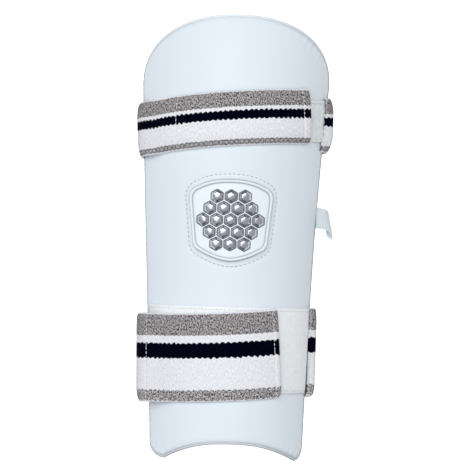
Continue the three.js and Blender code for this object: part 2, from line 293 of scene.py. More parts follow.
def wrist_end(share, inset):
    """Y of the wrist's arch and of the rounded corners beside it."""
    x = np.abs(share * WRIST_HALF - ARCH_SHIFT)
    last = WRIST_HALF - np.sign(share) * ARCH_SHIFT
    arch = TIP_Y + ARCH_RISE * (1 - np.minimum(1, x / TIP_X) ** ARCH_POWER)
    past = np.clip((x - TIP_X) / (last - TIP_X), 0, 1)
    return arch + (CORNER_Y - TIP_Y) * (1 - np.sqrt(1 - past**2)) + inset


print("dome top and wrist arch:", elbow_end(0, 0), round(float(wrist_end(0, 0)), 1))

# %% [markdown]
# ## Two ways to make a mesh
# Nearly every piece here is either a grid of points closed by a second grid, as the pad is, or a row
# of rings, as a strap, a welt or a stitch is. One helper adds the object, one builds it from rings.
# Both can lay the piece out flat as a UV map, so that its patterns can be baked without overlaps.


# %% Pieces
def new_piece(name, points, faces, slot, finishes, node=None, fields=None, layout=None):
    """A smooth mesh object from points in millimetres that rides on the frame and may replace a node."""
    mesh = bpy.data.meshes.new(name)
    mesh.from_pydata((np.asarray(points) * MM).tolist(), [], faces)
    mesh.shade_smooth()
    for finish in finishes:
        mesh.materials.append(finish.material)
    for field, values in (fields or {}).items():
        attribute = mesh.attributes.new(field, "FLOAT_VECTOR", "POINT")
        attribute.data.foreach_set("vector", np.asarray(values, np.float32).ravel())
    if layout is not None:
        mesh.uv_layers.new(name="OFBake").uv.foreach_set("vector", np.asarray(layout, np.float32).ravel())
    piece = bpy.data.objects.new(name, mesh)
    scene.collection.objects.link(piece)
    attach(piece, "root")
    if node:
        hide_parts(node)
    print(f"{name}: {len(mesh.vertices)} points, {len(mesh.polygons)} faces")
    return piece


# %% Sweeps
def sweep(name, rings, slot, finishes, looped=False, fields=None, **more):
    """A piece from rings of points, right-handed about the way they run. Several sweeps may be joined."""
    rings = np.asarray(rings)
    rings = rings.reshape(-1, *rings.shape[-3:])
    count, stations, sides = rings.shape[:3]
    i = np.arange(stations if looped else stations - 1)[:, None]
    j = np.arange(sides)[None, :]
    ahead, beside = (i + 1) % stations, (j + 1) % sides
    quads = np.stack([i * sides + j, i * sides + beside, ahead * sides + beside, ahead * sides + j], axis=-1)
    first = np.arange(count)[:, None, None] * stations * sides
    faces = (quads.reshape(1, -1, 4) + first).reshape(-1, 4).tolist()
    if not looped:
        last = (stations - 1) * sides
        for start in first.ravel().tolist():
            faces.append(list(range(start + sides - 1, start - 1, -1)))
            faces.append(list(range(start + last, start + last + sides)))
    layout = flat_layout(stations, sides, looped) if count == 1 else None
    fields = {field: np.reshape(values, (-1, 3)) for field, values in (fields or {}).items()}
    return new_piece(name, rings.reshape(-1, 3), faces, slot, finishes, fields=fields, layout=layout, **more)


SWEEP_HIGH = 0.95
DISC_RADIUS = 0.015
DISC_PLACES = ((0.03, 0.975), (0.08, 0.975))


def flat_layout(stations, sides, looped):
    """UV corners of a sweep laid out flat, with its two ends as small discs above it."""
    bands = stations if looped else stations - 1
    x, y = np.meshgrid(np.arange(bands) / bands, np.arange(sides) / sides * SWEEP_HIGH, indexing="ij")
    wide, high = 1 / bands, SWEEP_HIGH / sides
    corners = [(x, y), (x, y + high), (x + wide, y + high), (x + wide, y)]
    flat = np.stack([np.stack(corner, axis=-1) for corner in corners], axis=2).reshape(-1, 2)
    if looped:
        return flat
    turn = np.arange(sides) / sides * math.tau
    disc = np.stack([np.cos(turn), np.sin(turn)], axis=-1) * DISC_RADIUS
    return np.concatenate([flat, disc[::-1] + DISC_PLACES[0], disc + DISC_PLACES[1]])


print("3 rings of 4 points lay out", len(flat_layout(3, 4, looped=False)), "corners")

# %% [markdown]
# ## Padded body
# The body is foam between a coated face and a soft back. A cloth simulation would make it swell like
# a cushion, but moulded foam keeps its shape, so the surface is drawn directly. Each point knows how
# far it is from the rim: there the face rolls down to the seam and the back curves up to meet it.

# %% Plan of the body
COLUMNS, ROWS = 150, 280
GAP = 0.3
WELT_RADIUS = 0.8
SEAM_INSET = 2 * WELT_RADIUS + GAP
CROWDING = 0.55


def crowded(count):
    """Places from -1 to 1 that crowd together towards both ends."""
    even = np.linspace(-1, 1, count + 1)
    return (1 - CROWDING) * even + CROWDING * np.sin(even * math.pi / 2)


across, along = crowded(COLUMNS), crowded(ROWS)[:, None] / 2 + 0.5
width_share = np.sin(across * WRAP) / math.sin(WRAP)
plan_y = wrist_end(width_share, SEAM_INSET) * (1 - along) + elbow_end(width_share, SEAM_INSET) * along
plan_angle = across * (WRAP - SEAM_INSET / radius(plan_y))
plan = np.stack([radius(plan_y) * plan_angle, plan_y], axis=-1)
print("plan of", plan.shape[:2], "points, rolled out", np.round(np.ptp(plan, axis=(0, 1)), 1), "mm")


# %% Distance from the rim
def rim_of(grid):
    """The border of a grid as one loop of points, turning left."""
    return np.concatenate([grid[0, :-1], grid[:-1, -1], grid[-1, :0:-1], grid[:0:-1, 0]])


def distance_to(loop, places):
    """How far each place is from a closed line, and how far along the line its nearest point is."""
    side = np.roll(loop, -1, axis=0) - loop
    length = np.hypot(side[:, 0], side[:, 1])
    begins = np.cumsum(length) - length
    gaps, ways = [], []
    for block in np.array_split(places, len(places) // 2000 + 1):
        away = block[:, None] - loop
        share = np.clip((away * side).sum(-1) / length**2, 0, 1)
        gap = np.linalg.norm(away - share[..., None] * side, axis=-1)
        nearest = gap.argmin(1)
        rows = np.arange(len(block))
        gaps.append(gap[rows, nearest])
        ways.append(begins[nearest] + (share * length)[rows, nearest])
    return np.concatenate(gaps), np.concatenate(ways)


rim = rim_of(plan)
rim_gap, rim_way = (part.reshape(plan.shape[:2]) for part in distance_to(rim, plan.reshape(-1, 2)))
print(f"rim of {len(rim)} points, {np.hypot(*np.diff(rim, axis=0).T).sum():.0f} mm round")

# %% [markdown]
# ### Badge outline
# The stitches round the badge draw the pad in, so its outline is needed before the pad's relief. It is
# a shield with a bowed top. A curve object could hold it, but points are what the next steps measure
# from, so its right half is drawn as curves in code and mirrored. Even spacing along the line lets one
# list serve the plate, its rim and the stitches.

# %% Badge outline
BADGE_Y = 10.4
SHIELD_FOOT = (0, -24.5)
SHIELD_CURVES = [
    [(7.5, -24.5), (18.6, -18.4)],
    [(22.4, -17), (22.6, -11)],
    [(23.9, 1.2), (25.2, 13.5)],
    [(25.2, 18.5), (20.2, 20.1)],
    [(12.6, 24.5), (0, 24.5)],
]
CURVE_STEPS = 30
SHIELD_POINTS, RING_POINTS = 240, 400
STITCH_RING = 3.1


def bezier(corners, steps):
    """Points and directions along a Bezier curve with any number of corners."""
    corners = np.asarray(corners, float)
    share = np.linspace(0, 1, steps + 1)[:, None]

    def blend(values):
        order = len(values) - 1
        total = 0
        for k, value in enumerate(values):
            total = total + math.comb(order, k) * share**k * (1 - share) ** (order - k) * value
        return total

    way = blend(np.diff(corners, axis=0))
    return blend(corners), way / np.linalg.norm(way, axis=1, keepdims=True)


def evenly(points, count, closed=False):
    """The same line with points at even distances."""
    line = np.concatenate([points, points[:1]]) if closed else points
    way = np.concatenate([[0], np.cumsum(np.linalg.norm(np.diff(line, axis=0), axis=1))])
    places = np.linspace(0, way[-1], count, endpoint=not closed)
    return np.stack([np.interp(places, way, part) for part in line.T], axis=-1)


right_half = [np.array([SHIELD_FOOT], float)]
for pull, end in SHIELD_CURVES:
    right_half.append(bezier([right_half[-1][-1], pull, end], CURVE_STEPS)[0][1:])
right_half = np.concatenate(right_half)
shield = np.concatenate([right_half, right_half[-2:0:-1] * (-1, 1)])
shield = evenly(shield, SHIELD_POINTS, closed=True)


def grown(loop, out):
    """A loop that turns left, moved outwards."""
    way = np.roll(loop, -1, axis=0) - np.roll(loop, 1, axis=0)
    way /= np.linalg.norm(way, axis=1, keepdims=True)
    return loop + out * np.stack([way[:, 1], -way[:, 0]], axis=-1)


stitch_ring = evenly(grown(shield, STITCH_RING), RING_POINTS, closed=True) + (0, BADGE_Y)
ring_gap = distance_to(stitch_ring, plan.reshape(-1, 2))[0].reshape(rim_gap.shape)
print("shield", np.round(np.ptp(shield, axis=0), 1), "mm")

# %% [markdown]
# ### Relief of the face
# Real leather over foam is never quite even. It puckers where the seam gathers it, most of all round
# the dome's right and at the wrist tips. It dips along each sewn line, and it wanders by a tenth of a
# millimetre elsewhere. A bump could fake that, but it would vanish at the outline and in the mesh, so
# all of this is height that is added to the points.

# %% Relief of the face
PAD_THICK = 11
SEAM_DEPTH = 1.2
FACE_FALL = 0.55
FACE_ROUND = 4
WRIST_FALL = 0.4
WRIST_ROUND = 4
BACK_ROUND = 18
UPPER_TAPE = {"y": 70.6, "tilt": 0.7, "width": 24.8}
LOWER_TAPE = {"y": -66.7, "tilt": 0, "width": 51}
TAPE_SEAM = 1.7
WANDER = 0.07
RING_DIP, RING_DIP_WIDTH = 0.35, 1.1
TAPE_DIP, TAPE_DIP_WIDTH = 0.25, 2.2
GATHER_LEAST, GATHER_REACH = 0.05, 1.6
PUCKER_PITCH = 5.6
PUCKER_SPOTS = [(50, 112, 20, 0.22), (-47, -128, 14, 0.16), (47, -128, 14, 0.16), (-50, 112, 20, 0.08)]
ARCH_FROM_Y, ARCH_FADE = -108, 12


def quarter_round(distance, width):
    return np.sqrt(1 - (1 - np.minimum(1, distance / width)) ** 2)


def face_depth(distance):
    return FACE_FALL * (1 - quarter_round(distance, FACE_ROUND))


def in_arch(angle, y):
    """1 beside the wrist's arch, fading to 0 towards its tips and up the arm."""
    return np.clip((ARCH_FROM_Y - y) / ARCH_FADE, 0, 1) * np.clip(1.8 - 2 * np.abs(angle) / WRAP, 0, 1)


def hump(distance, width):
    return np.exp(-((distance / width) ** 2))


plan_x = plan[..., 0]
wander = WANDER * np.sin(plan_x / 11 + 0.7 * np.sin(plan_y / 17))
wander = wander + WANDER * np.sin(plan_y / 14 + np.sin(plan_x / 19))
gather = GATHER_LEAST
for x, y, reach, size in PUCKER_SPOTS:
    gather = gather + size * hump(np.hypot(plan_x - x, plan_y - y), reach)
gather = gather * (rim_gap / GATHER_REACH) * np.exp(1 - rim_gap / GATHER_REACH)
pucker = gather * np.sin(math.tau * rim_way / PUCKER_PITCH + 1.9 * np.sin(rim_way / 8.3))
sewn = RING_DIP * hump(ring_gap, RING_DIP_WIDTH)
for tape in (UPPER_TAPE, LOWER_TAPE):
    from_middle = plan_y - tape["y"] - tape["tilt"] * plan_angle / WRAP
    from_seam = np.abs(from_middle) - tape["width"] / 2 + TAPE_SEAM
    sewn = sewn + TAPE_DIP * hump(from_seam, TAPE_DIP_WIDTH)
face_height = -face_depth(rim_gap) + quarter_round(rim_gap, FACE_ROUND) * (wander - sewn) + pucker
arch_fall = WRIST_FALL * in_arch(plan_angle, plan_y) * (1 - quarter_round(rim_gap, WRIST_ROUND))
face_height = face_height - arch_fall
back_height = -SEAM_DEPTH - (PAD_THICK - SEAM_DEPTH) * quarter_round(rim_gap, BACK_ROUND)
print(f"relief from {face_height.min():.2f} to {face_height.max():.2f} mm")

# %% [markdown]
# ### Coated leather and lining
# The cover is polyurethane on cloth: a cool white, a fine pebble grain, a soft sheen. Shade is painted
# grey near the seam, most of all along both long sides. The back is a plain knitted lining. A pattern
# laid straight down from above would stretch on the steep sides, so both read the plan that the mesh
# carries, and their grain keeps its size wherever the surface turns.

# %% Coated leather
GRAIN_MM = 0.75
EDGE_SHADE_GREY = (98, 103, 112)


def coated_leather(name, bright, dull):
    finish = Finish(name, Roughness=0.5, Specular_IOR_Level=0.35)
    wire = finish.wire
    place, _, _, painted_shade = finish.field("pad")
    cells = wire.node("TexVoronoi", {"feature": "SMOOTH_F1"}, {"Vector": place, "Scale": 1 / GRAIN_MM})
    cloud = wire.noise(place, 0.03)
    fine = wire.noise(place, 2.6, detail=3.0)
    tone = wire.mix(cloud * 0.5, srgb(*bright), srgb(*dull))
    # The third number of the pad field paints shade grey: along the cover's rim and on the rolled edge.
    finish.feed("Base Color", wire.mix(painted_shade, tone, srgb(*EDGE_SHADE_GREY)))
    finish.feed("Roughness", 0.44 + 0.16 * fine)
    finish.bump(cells * 0.6 + fine * 0.4, depth_mm=0.05, strength=0.5)
    return finish


cover = coated_leather("coated_leather", (227, 237, 246), (222, 232, 241))
print("finish:", cover.material.name)

# %% Lining
WALE_MM, LOOP_MM = 1.3, 1.1

lining = Finish("knitted_lining", Roughness=0.92, Specular_IOR_Level=0.15, Sheen_Weight=0.2)
lining_place, lining_x, lining_y, _ = lining.field("pad")
slanted = lining.wire.math("PINGPONG", lining_x / WALE_MM, 0.5)
wales = lining.wire.wave(lining_x / WALE_MM) * lining.wire.wave(lining_y / LOOP_MM + slanted)
pile = lining.wire.noise(lining_place, 1.8, detail=4.0)
lining.feed("Base Color", lining.wire.mix(wales * 0.5 + pile * 0.4, srgb(196, 202, 209), srgb(228, 232, 236)))
lining.bump(wales * 0.7 + pile * 0.3, depth_mm=0.15, strength=0.6)
print("finish:", lining.material.name)

# %% Body mesh
SEAM_SHADE, RIGHT_SHADE, LEFT_SHADE = 0.04, 0.36, 0.26
SEAM_SHADE_WIDTH = 2.2
SHADE_REACH = 40
FACE_UV = 0.49

rows, columns = plan.shape[:2]
number = np.arange(rows * columns).reshape(rows, columns)
inner = number + rows * columns
for edge in (np.s_[0, :], np.s_[-1, :], np.s_[:, 0], np.s_[:, -1]):
    inner[edge] = number[edge]


def cells_of(grid):
    """Quads of a grid of point numbers, seen from the front."""
    return np.stack([grid[:-1, :-1], grid[:-1, 1:], grid[1:, 1:], grid[1:, :-1]], axis=-1).reshape(-1, 4)


front, back = cells_of(number), cells_of(inner)[:, ::-1]
used, quads = np.unique(np.concatenate([front, back]), return_inverse=True)
heights = (face_height, back_height)
points = np.concatenate([on_guard(plan_angle, plan_y, height).reshape(-1, 3) for height in heights])
# Shade painted grey along the rim, stronger on the right and left long sides.
aside = plan_x / SHADE_REACH
rim_shade = SEAM_SHADE + RIGHT_SHADE * np.clip(aside - 0.2, 0, 1) + LEFT_SHADE * np.clip(-aside - 0.3, 0, 1)
rim_shade *= np.clip(1 - rim_gap / SEAM_SHADE_WIDTH, 0, 1)
spots = np.tile(np.concatenate([plan, rim_shade[..., None]], axis=-1).reshape(-1, 3), (2, 1))
grid_uv = np.meshgrid(np.linspace(0, FACE_UV, columns), np.linspace(0, 1, rows))
grid_uv = np.stack(grid_uv, axis=-1).reshape(-1, 2)
back_uv = grid_uv[front[:, ::-1].ravel()] + (1 - FACE_UV, 0)
layout = np.concatenate([grid_uv[front.ravel()], back_uv])
body = new_piece(
    "padded_body",
    points[used],
    quads.reshape(-1, 4).tolist(),
    "cover",
    [cover, lining],
    node="guard_body",
    fields={"pad": spots[used]},
    layout=layout,
)
body.data.polygons.foreach_set("material_index", np.repeat([0, 1], [len(front), len(back)]))

# %% [markdown]
# ## Rolled edge
# Face and back are closed by a narrow roll of the same leather. A curve with a bevel would do, but the
# roll has to follow the pad's rim exactly and tighten a little at every stitch, so its rings are
# placed one by one just outside the rim. Its outer side is painted grey as shade, most of all along
# both long sides and under the wrist's arch.

# %% Rolled edge
WELT_SIDES = 14
WELT_TUCK = 0.12
STITCH_TIGHTEN = 0.04
WELT_PITCH = 3.2

before, after = rim - np.roll(rim, 1, axis=0), np.roll(rim, -1, axis=0) - rim
before, after = (way / np.linalg.norm(way, axis=1, keepdims=True) for way in (before, after))
run = before + after
run /= np.linalg.norm(run, axis=1, keepdims=True)
outward = np.stack([run[:, 1], -run[:, 0]], axis=-1) / (run * after).sum(1, keepdims=True)
rim_length = np.cumsum(np.linalg.norm(rim - np.roll(rim, 1, axis=0), axis=1))
turn = np.arange(WELT_SIDES) / WELT_SIDES * math.tau
welt_radius = WELT_RADIUS * (1 + STITCH_TIGHTEN * np.sin(math.tau * rim_length / WELT_PITCH))[:, None]
reach = WELT_RADIUS - WELT_TUCK + welt_radius * np.sin(turn)
welt_plan = rim[:, None] + outward[:, None] * reach[..., None]
welt_y = welt_plan[..., 1]
welt_angle = welt_plan[..., 0] / radius(welt_y)
welt_height = welt_radius * np.cos(turn) - SEAM_DEPTH - WRIST_FALL * in_arch(welt_angle, welt_y)
welt_rings = on_guard(welt_angle, welt_y, welt_height)
print(f"rolled edge: {len(welt_rings)} rings over {rim_length[-1]:.0f} mm")

# %% Painted shade of the rolled edge
UNDER_SHADE = 0.4
WELT_SHADE_SIDES = {"right": 0.8, "left": 0.85, "elbow": 0.02, "wrist": 0.5}

# The roll's leather is a lighter copy of the cover's: painted light on the roll's top.
lit_welt_leather = coated_leather("rolled_leather", (236, 243, 249), (228, 236, 243))
facing = outward / np.linalg.norm(outward, axis=1, keepdims=True)
shade_by_side = {
    side: WELT_SHADE_SIDES[side] * np.clip(way, 0, 1) ** 2
    for side, way in zip(WELT_SHADE_SIDES, (facing[:, 0], -facing[:, 0], facing[:, 1], -facing[:, 1]))
}
tipped = np.abs(rim[:, 0] / radius(rim[:, 1]) * facing[:, 0])
outer_side = 0.5 + 0.5 * np.sin(turn + tipped[:, None])
# Shade painted grey on the roll's outer side, strongest on both long sides and under the wrist's arch.
welt_shade = sum(shade_by_side[side][:, None] * outer_side for side in ("right", "left", "elbow"))
welt_shade = welt_shade + shade_by_side["wrist"][:, None] * (UNDER_SHADE + (1 - UNDER_SHADE) * outer_side)
welt_spots = np.concatenate([welt_plan, welt_shade[..., None]], axis=-1)
sweep("rolled_edge", welt_rings, "welt", [lit_welt_leather], True, {"pad": welt_spots}, node="edge_welt")

# %% [markdown]
# ## Stitches
# A lockstitch shows as a row of short threads that dive into the leather at both ends. Painted dashes
# would look flat from the side, so each stitch is a small bent tube. One function lays such a row along
# any line, given the way out of the surface there, and the row becomes one mesh.


# %% Sewing thread
def sewing_thread(name, dark, light):
    finish = Finish(name, Roughness=0.75, Specular_IOR_Level=0.25, Sheen_Weight=0.15)
    place = finish.wire.node("TexCoord", output="Object")
    sockets = {"Vector": place, "Scale": 900.0, "Distortion": 1.5}
    twist = finish.wire.node("TexWave", {"bands_direction": "DIAGONAL"}, sockets)
    finish.feed("Base Color", finish.wire.mix(twist, srgb(*dark), srgb(*light)))
    finish.bump(twist, depth_mm=0.05, strength=0.5)
    return finish


grey_thread = sewing_thread("grey_thread", (164, 171, 179), (208, 214, 221))
pale_thread = sewing_thread("pale_thread", (190, 196, 200), (226, 231, 234))
white_thread = sewing_thread("white_thread", (214, 214, 222), (246, 246, 250))
print("threads:", grey_thread.material.name, pale_thread.material.name, white_thread.material.name)

# %% Rows of stitches
THREAD_SIDES, THREAD_STATIONS = 6, 7
BOW_POWER = 0.6
THREAD_TIP = 0.35


def stitch_row(line, out, pitch, length, thick, sink=0.1):
    """Rings of a row of stitches along a line, with the way out of the surface at each of its points."""
    way = np.concatenate([[0], np.cumsum(np.linalg.norm(np.diff(line, axis=0), axis=1))])
    count = max(1, int(way[-1] / pitch))
    starts = (np.arange(count) + 0.5) * way[-1] / count - length / 2
    share = np.linspace(0, 1, THREAD_STATIONS)
    places = starts[:, None] + share * length
    middle = np.stack([np.interp(places, way, part) for part in line.T], axis=-1)
    up = np.stack([np.interp(places, way, part) for part in out.T], axis=-1)
    up /= np.linalg.norm(up, axis=-1, keepdims=True)
    ahead = np.gradient(middle, axis=1)
    ahead /= np.linalg.norm(ahead, axis=-1, keepdims=True)
    side = np.cross(up, ahead)
    bow = np.sin(share * math.pi) ** BOW_POWER
    middle = middle + up * (thick * bow - sink)[:, None]
    turn = np.arange(THREAD_SIDES) / THREAD_SIDES * math.tau
    girth = (thick * (THREAD_TIP + (1 - THREAD_TIP) * bow))[:, None, None]
    ring = side[..., None, :] * np.cos(turn)[:, None] + up[..., None, :] * np.sin(turn)[:, None]
    return middle[..., None, :] + girth * ring


def face_line(line, lift):
    """A line on the rolled-out face as points a lift above it, with the ways out of the face."""
    angle = line[:, 0] / radius(line[:, 1])
    return on_guard(angle, line[:, 1], lift), out_of_face(angle)


print("a stitch has", THREAD_STATIONS * THREAD_SIDES, "points")

# %% Stitches round the badge
BADGE_STITCH = {"pitch": 2.7, "length": 1.9, "thick": 0.26}
RING_SINK = 0.3

ring_line = np.concatenate([stitch_ring, stitch_ring[:1]])
ring_stitches = stitch_row(*face_line(ring_line, -RING_SINK), **BADGE_STITCH)
sweep("badge_stitches", ring_stitches, "cover", [grey_thread])

# %% [markdown]
# ## Badge
# The badge is a moulded plate with a raised rim. A plate with straight walls would look cut out, so
# its section is a list that rounds every edge, swept round the shield. Each row of it has a share of
# the outline, a height, and how much shade is painted grey there, which draws the thin lines beside
# the rim and on its outer wall.

# %% Badge plate
PLATE = [
    (0.02, 0.3, 0), (0.35, 0.3, 0), (0.7, 0.3, 0), (0.985, 0.3, 0.7), (1, 0.45, 0.8), (1.003, 0.9, 0.7),
    (1, 1.35, 0.7), (0.992, 1.7, 0.6), (0.98, 2, 0.25), (0.968, 2.16, 0), (0.955, 2.2, 0), (0.942, 2.13, 0),
    (0.932, 1.95, 0.15), (0.924, 1.7, 0.45), (0.917, 1.5, 0.7), (0.91, 1.4, 0.55), (0.902, 1.37, 0.25),
    (0.89, 1.38, 0.1), (0.86, 1.42, 0), (0.8, 1.46, 0), (0.7, 1.5, 0), (0.55, 1.54, 0), (0.4, 1.55, 0),
    (0.25, 1.56, 0), (0.1, 1.56, 0), (0.02, 1.56, 0),
]


def plate_rings(outline, centre, profile):
    """Rings of an outline drawn in to each share of the profile and laid on the face at its height."""
    share, height = (np.array(part)[:, None] for part in list(zip(*profile))[:2])
    x, y = (centre[k] + outline[:, k] * share for k in (0, 1))
    return on_guard(x / radius(y), y, np.broadcast_to(height, x.shape))


moulding = Finish("moulded_plate", Roughness=0.38, Specular_IOR_Level=0.45)
plate_place, _, _, plate_shade = moulding.field("plate")
speckle = moulding.wire.noise(plate_place, 1.6, detail=3.0)
plate_white = moulding.wire.mix(speckle * 0.5, srgb(236, 246, 252), srgb(226, 237, 245))
# The third number of each profile row paints shade grey beside the rim and on its outer wall.
moulding.feed("Base Color", moulding.wire.mix(plate_shade, plate_white, srgb(116, 121, 128)))
moulding.feed("Roughness", 0.34 + 0.12 * speckle)
moulding.bump(speckle, depth_mm=0.04, strength=0.4)

shares, shade_rows = (np.array([row[k] for row in PLATE])[:, None, None] for k in (0, 2))
shade_rows = np.broadcast_to(shade_rows, (len(PLATE), len(shield), 1))
plate_field = np.concatenate([shield * shares, shade_rows], axis=-1)
sweep(
    "badge_plate",
    plate_rings(shield, (0, BADGE_Y), PLATE),
    "badge",
    [moulding],
    fields={"plate": plate_field},
    node="badge",
)

# %% [markdown]
# ### Studs
# A honeycomb of silver studs decorates the plate. Each stands in a thin dark line where the enamel
# stops, has six steep bevels that mirror dark and light in turn, and a low crowned top. The dark line
# is a narrow skirt in its own mesh, because a painted line would need the plate to know where every
# stud is.

# %% Studs
STUD_ACROSS = 7
STUD_PITCH = 8.2
STUD_ROWS = (3, 4, 5, 4, 3)
STUD_CORNER = 0.14
STUD = [
    (0.02, 0.9), (1, 0.9), (1, 1.55), (0.985, 1.68), (0.955, 1.8), (0.935, 1.88), (0.65, 2.75), (0.63, 2.81),
    (0.605, 2.86), (0.57, 2.91), (0.45, 3), (0.3, 3.08), (0.15, 3.12), (0.02, 3.13),
]
SKIRT = [(0.02, 0.8), (1.1, 0.8), (1.11, 1.5), (1.085, 1.6), (1.04, 1.62), (0.9, 1.6), (0.02, 1.6)]

corner_turn = (np.arange(6) + 0.5) * math.pi / 3
corners = np.stack([np.cos(corner_turn), np.sin(corner_turn)], axis=-1) * STUD_ACROSS / math.sqrt(3)
rounded = []
for k in range(6):
    here, ahead, behind = corners[k], corners[(k + 1) % 6], corners[k - 1]
    near = [here + STUD_CORNER * (there - here) for there in (behind, ahead)]
    rounded.append(bezier([near[0], here, near[1]], 5)[0])
hexagon = evenly(np.concatenate(rounded), 48, closed=True)
centres = []
for row, studs in enumerate(STUD_ROWS):
    y = BADGE_Y + ((len(STUD_ROWS) - 1) / 2 - row) * STUD_PITCH * math.sin(math.pi / 3)
    centres += [((k - (studs - 1) / 2) * STUD_PITCH, y) for k in range(studs)]

silver = Finish("silver_paint", Metallic=0.95, Roughness=0.2)
silver_place = silver.wire.node("TexCoord", output="Object")
flake = silver.wire.noise(silver_place, 2500.0, detail=3.0)
silver.feed("Base Color", silver.wire.mix(flake, srgb(150, 154, 163), srgb(186, 190, 198)))
silver.feed("Roughness", 0.12 + 0.16 * flake)
enamel = Finish("dark_line", Roughness=0.35)
enamel_tone = enamel.wire.noise(enamel.wire.node("TexCoord", output="Object"), 1500.0)
enamel.feed("Base Color", enamel.wire.mix(enamel_tone, srgb(70, 73, 78), srgb(102, 106, 112)))
sweep("badge_studs", [plate_rings(hexagon, centre, STUD) for centre in centres], "badge", [silver])
sweep("stud_skirts", [plate_rings(hexagon, centre, SKIRT) for centre in centres], "badge", [enamel])

# %% [markdown]
# ## Bands
# Loop tapes, hook tapes, straps and the ribbon are all flat bands with soft round edges. A plane with a
# Solidify modifier would have sharp ones. A band here keeps a line for its upper edge and one for its
# lower edge, with the way out of the cloth beside each. Any place on it then has two numbers: how far
# along it is, and how far across from the upper edge.


# %% Bands
def new_band(upper, lower):
    """A band between two edge lines, each a pair of points and ways out, measured along its middle."""
    steps = np.linalg.norm(np.diff((upper[0] + lower[0]) / 2, axis=0), axis=1)
    width = np.linalg.norm(upper[0] - lower[0], axis=1).mean()
    return {"way": np.concatenate([[0], np.cumsum(steps)]), "edges": (upper, lower), "width": width}


def on_band(band, along, across, out):
    """Points at a distance along and across a band and out from its middle, with the ways out there."""
    along, across, out = np.broadcast_arrays(along, across, out)
    share = (across / band["width"])[..., None]

    def at(line):
        return np.stack([np.interp(along, band["way"], part) for part in line.T], axis=-1)

    upper, lower = band["edges"]
    points, ways = ((1 - share) * at(upper[k]) + share * at(lower[k]) for k in (0, 1))
    ways /= np.linalg.norm(ways, axis=-1, keepdims=True)
    return points + ways * out[..., None], ways


def flat_section(width, thick, front_points, back_points):
    """Across and out of the points round a band's section: front, upper edge, back, lower edge."""
    round_radius = thick / 2
    turn = np.radians([120, 150, 180, 210, 240])
    front = np.linspace(width - round_radius, round_radius, front_points)
    back = np.linspace(round_radius, width - round_radius, back_points)
    upper = round_radius * (1 + np.cos(turn))
    side = round_radius * np.sin(turn)
    out = [np.full(front_points, round_radius), side, np.full(back_points, -round_radius), -side]
    return np.concatenate([front, upper, back, width - upper]), np.concatenate(out)


def cloth_field(along, across, out):
    """What a band's finish reads: along, across, and 1 on the outer side or -1 on the inner side."""
    return np.stack(np.broadcast_arrays(along, across, np.sign(out)), axis=-1)


sample = flat_section(width=10, thick=1, front_points=3, back_points=2)
print("section of a 10 mm band:", np.round(sample, 1).tolist())

# %% [markdown]
# ## Loop tapes
# The soft half of the fastener is a tape with a pile of tiny loops, sewn flat across the face. A plane
# could be shrink-wrapped on the pad, but a band on the pad's own formulas is exact. It follows the face
# down where the pad rounds off beside the seam, and its two rows of stitches draw it in a little. The
# loops come later, when the straps have shown which part stays bare.


# %% Pile of the loop tapes
def pile_finish(name, bright, dull):
    finish = Finish(name, Roughness=0.95, Specular_IOR_Level=0.1, Sheen_Weight=0.3, Sheen_Roughness=0.6)
    wire = finish.wire
    place = finish.field("cloth")[0]
    tufts = wire.noise(place, 0.55, detail=4.0)
    finish.feed("Base Color", wire.mix(wire.step(tufts - 0.5, 0.5), srgb(*dull), srgb(*bright)))
    finish.bump(wire.noise(place, 1.6, detail=3.0), depth_mm=0.2, strength=0.5)
    return finish


# The upper tape's pile is a darker copy of the lower tape's: painted shade.
upper_pile_shaded = pile_finish("upper_pile_shaded", (249, 254, 255), (226, 232, 236))
lower_pile = pile_finish("lower_pile", (253, 255, 255), (239, 245, 251))
print("finishes:", upper_pile_shaded.material.name, lower_pile.material.name)

# %% Loop tapes
LOOP_TAPE_THICK = 1
TAPE_INSET = {"left": 5, "right": 2}
TAPE_STATIONS = 220
TAPE_EDGE, TAPE_EDGE_THIN = 3, 0.35
TAPE_END, CUT_LEAST = 0.8, 0.1
SEAM_PULL, SEAM_PULL_WIDTH = 0.2, 0.8
TAPE_STITCH = {"pitch": 2.3, "length": 1.6, "thick": 0.2}
TAPE_STITCH_SINK = 0.25


def tape_band(tape):
    """The band of a loop tape, from right to left across the face."""
    edges = []
    for side in (1, -1):
        y = tape["y"] + side * tape["width"] / 2
        rim_angle = WRAP - SEAM_INSET / radius(y)
        right, left = (rim_angle - TAPE_INSET[end] / radius(y) for end in ("right", "left"))
        angle = np.linspace(right, -left, TAPE_STATIONS)
        drop = face_depth((rim_angle - np.abs(angle)) * radius(y))
        points = on_guard(angle, y + tape["tilt"] * angle / WRAP, GAP + LOOP_TAPE_THICK / 2 - drop)
        edges.append((points, out_of_face(angle)))
    return new_band(*edges)


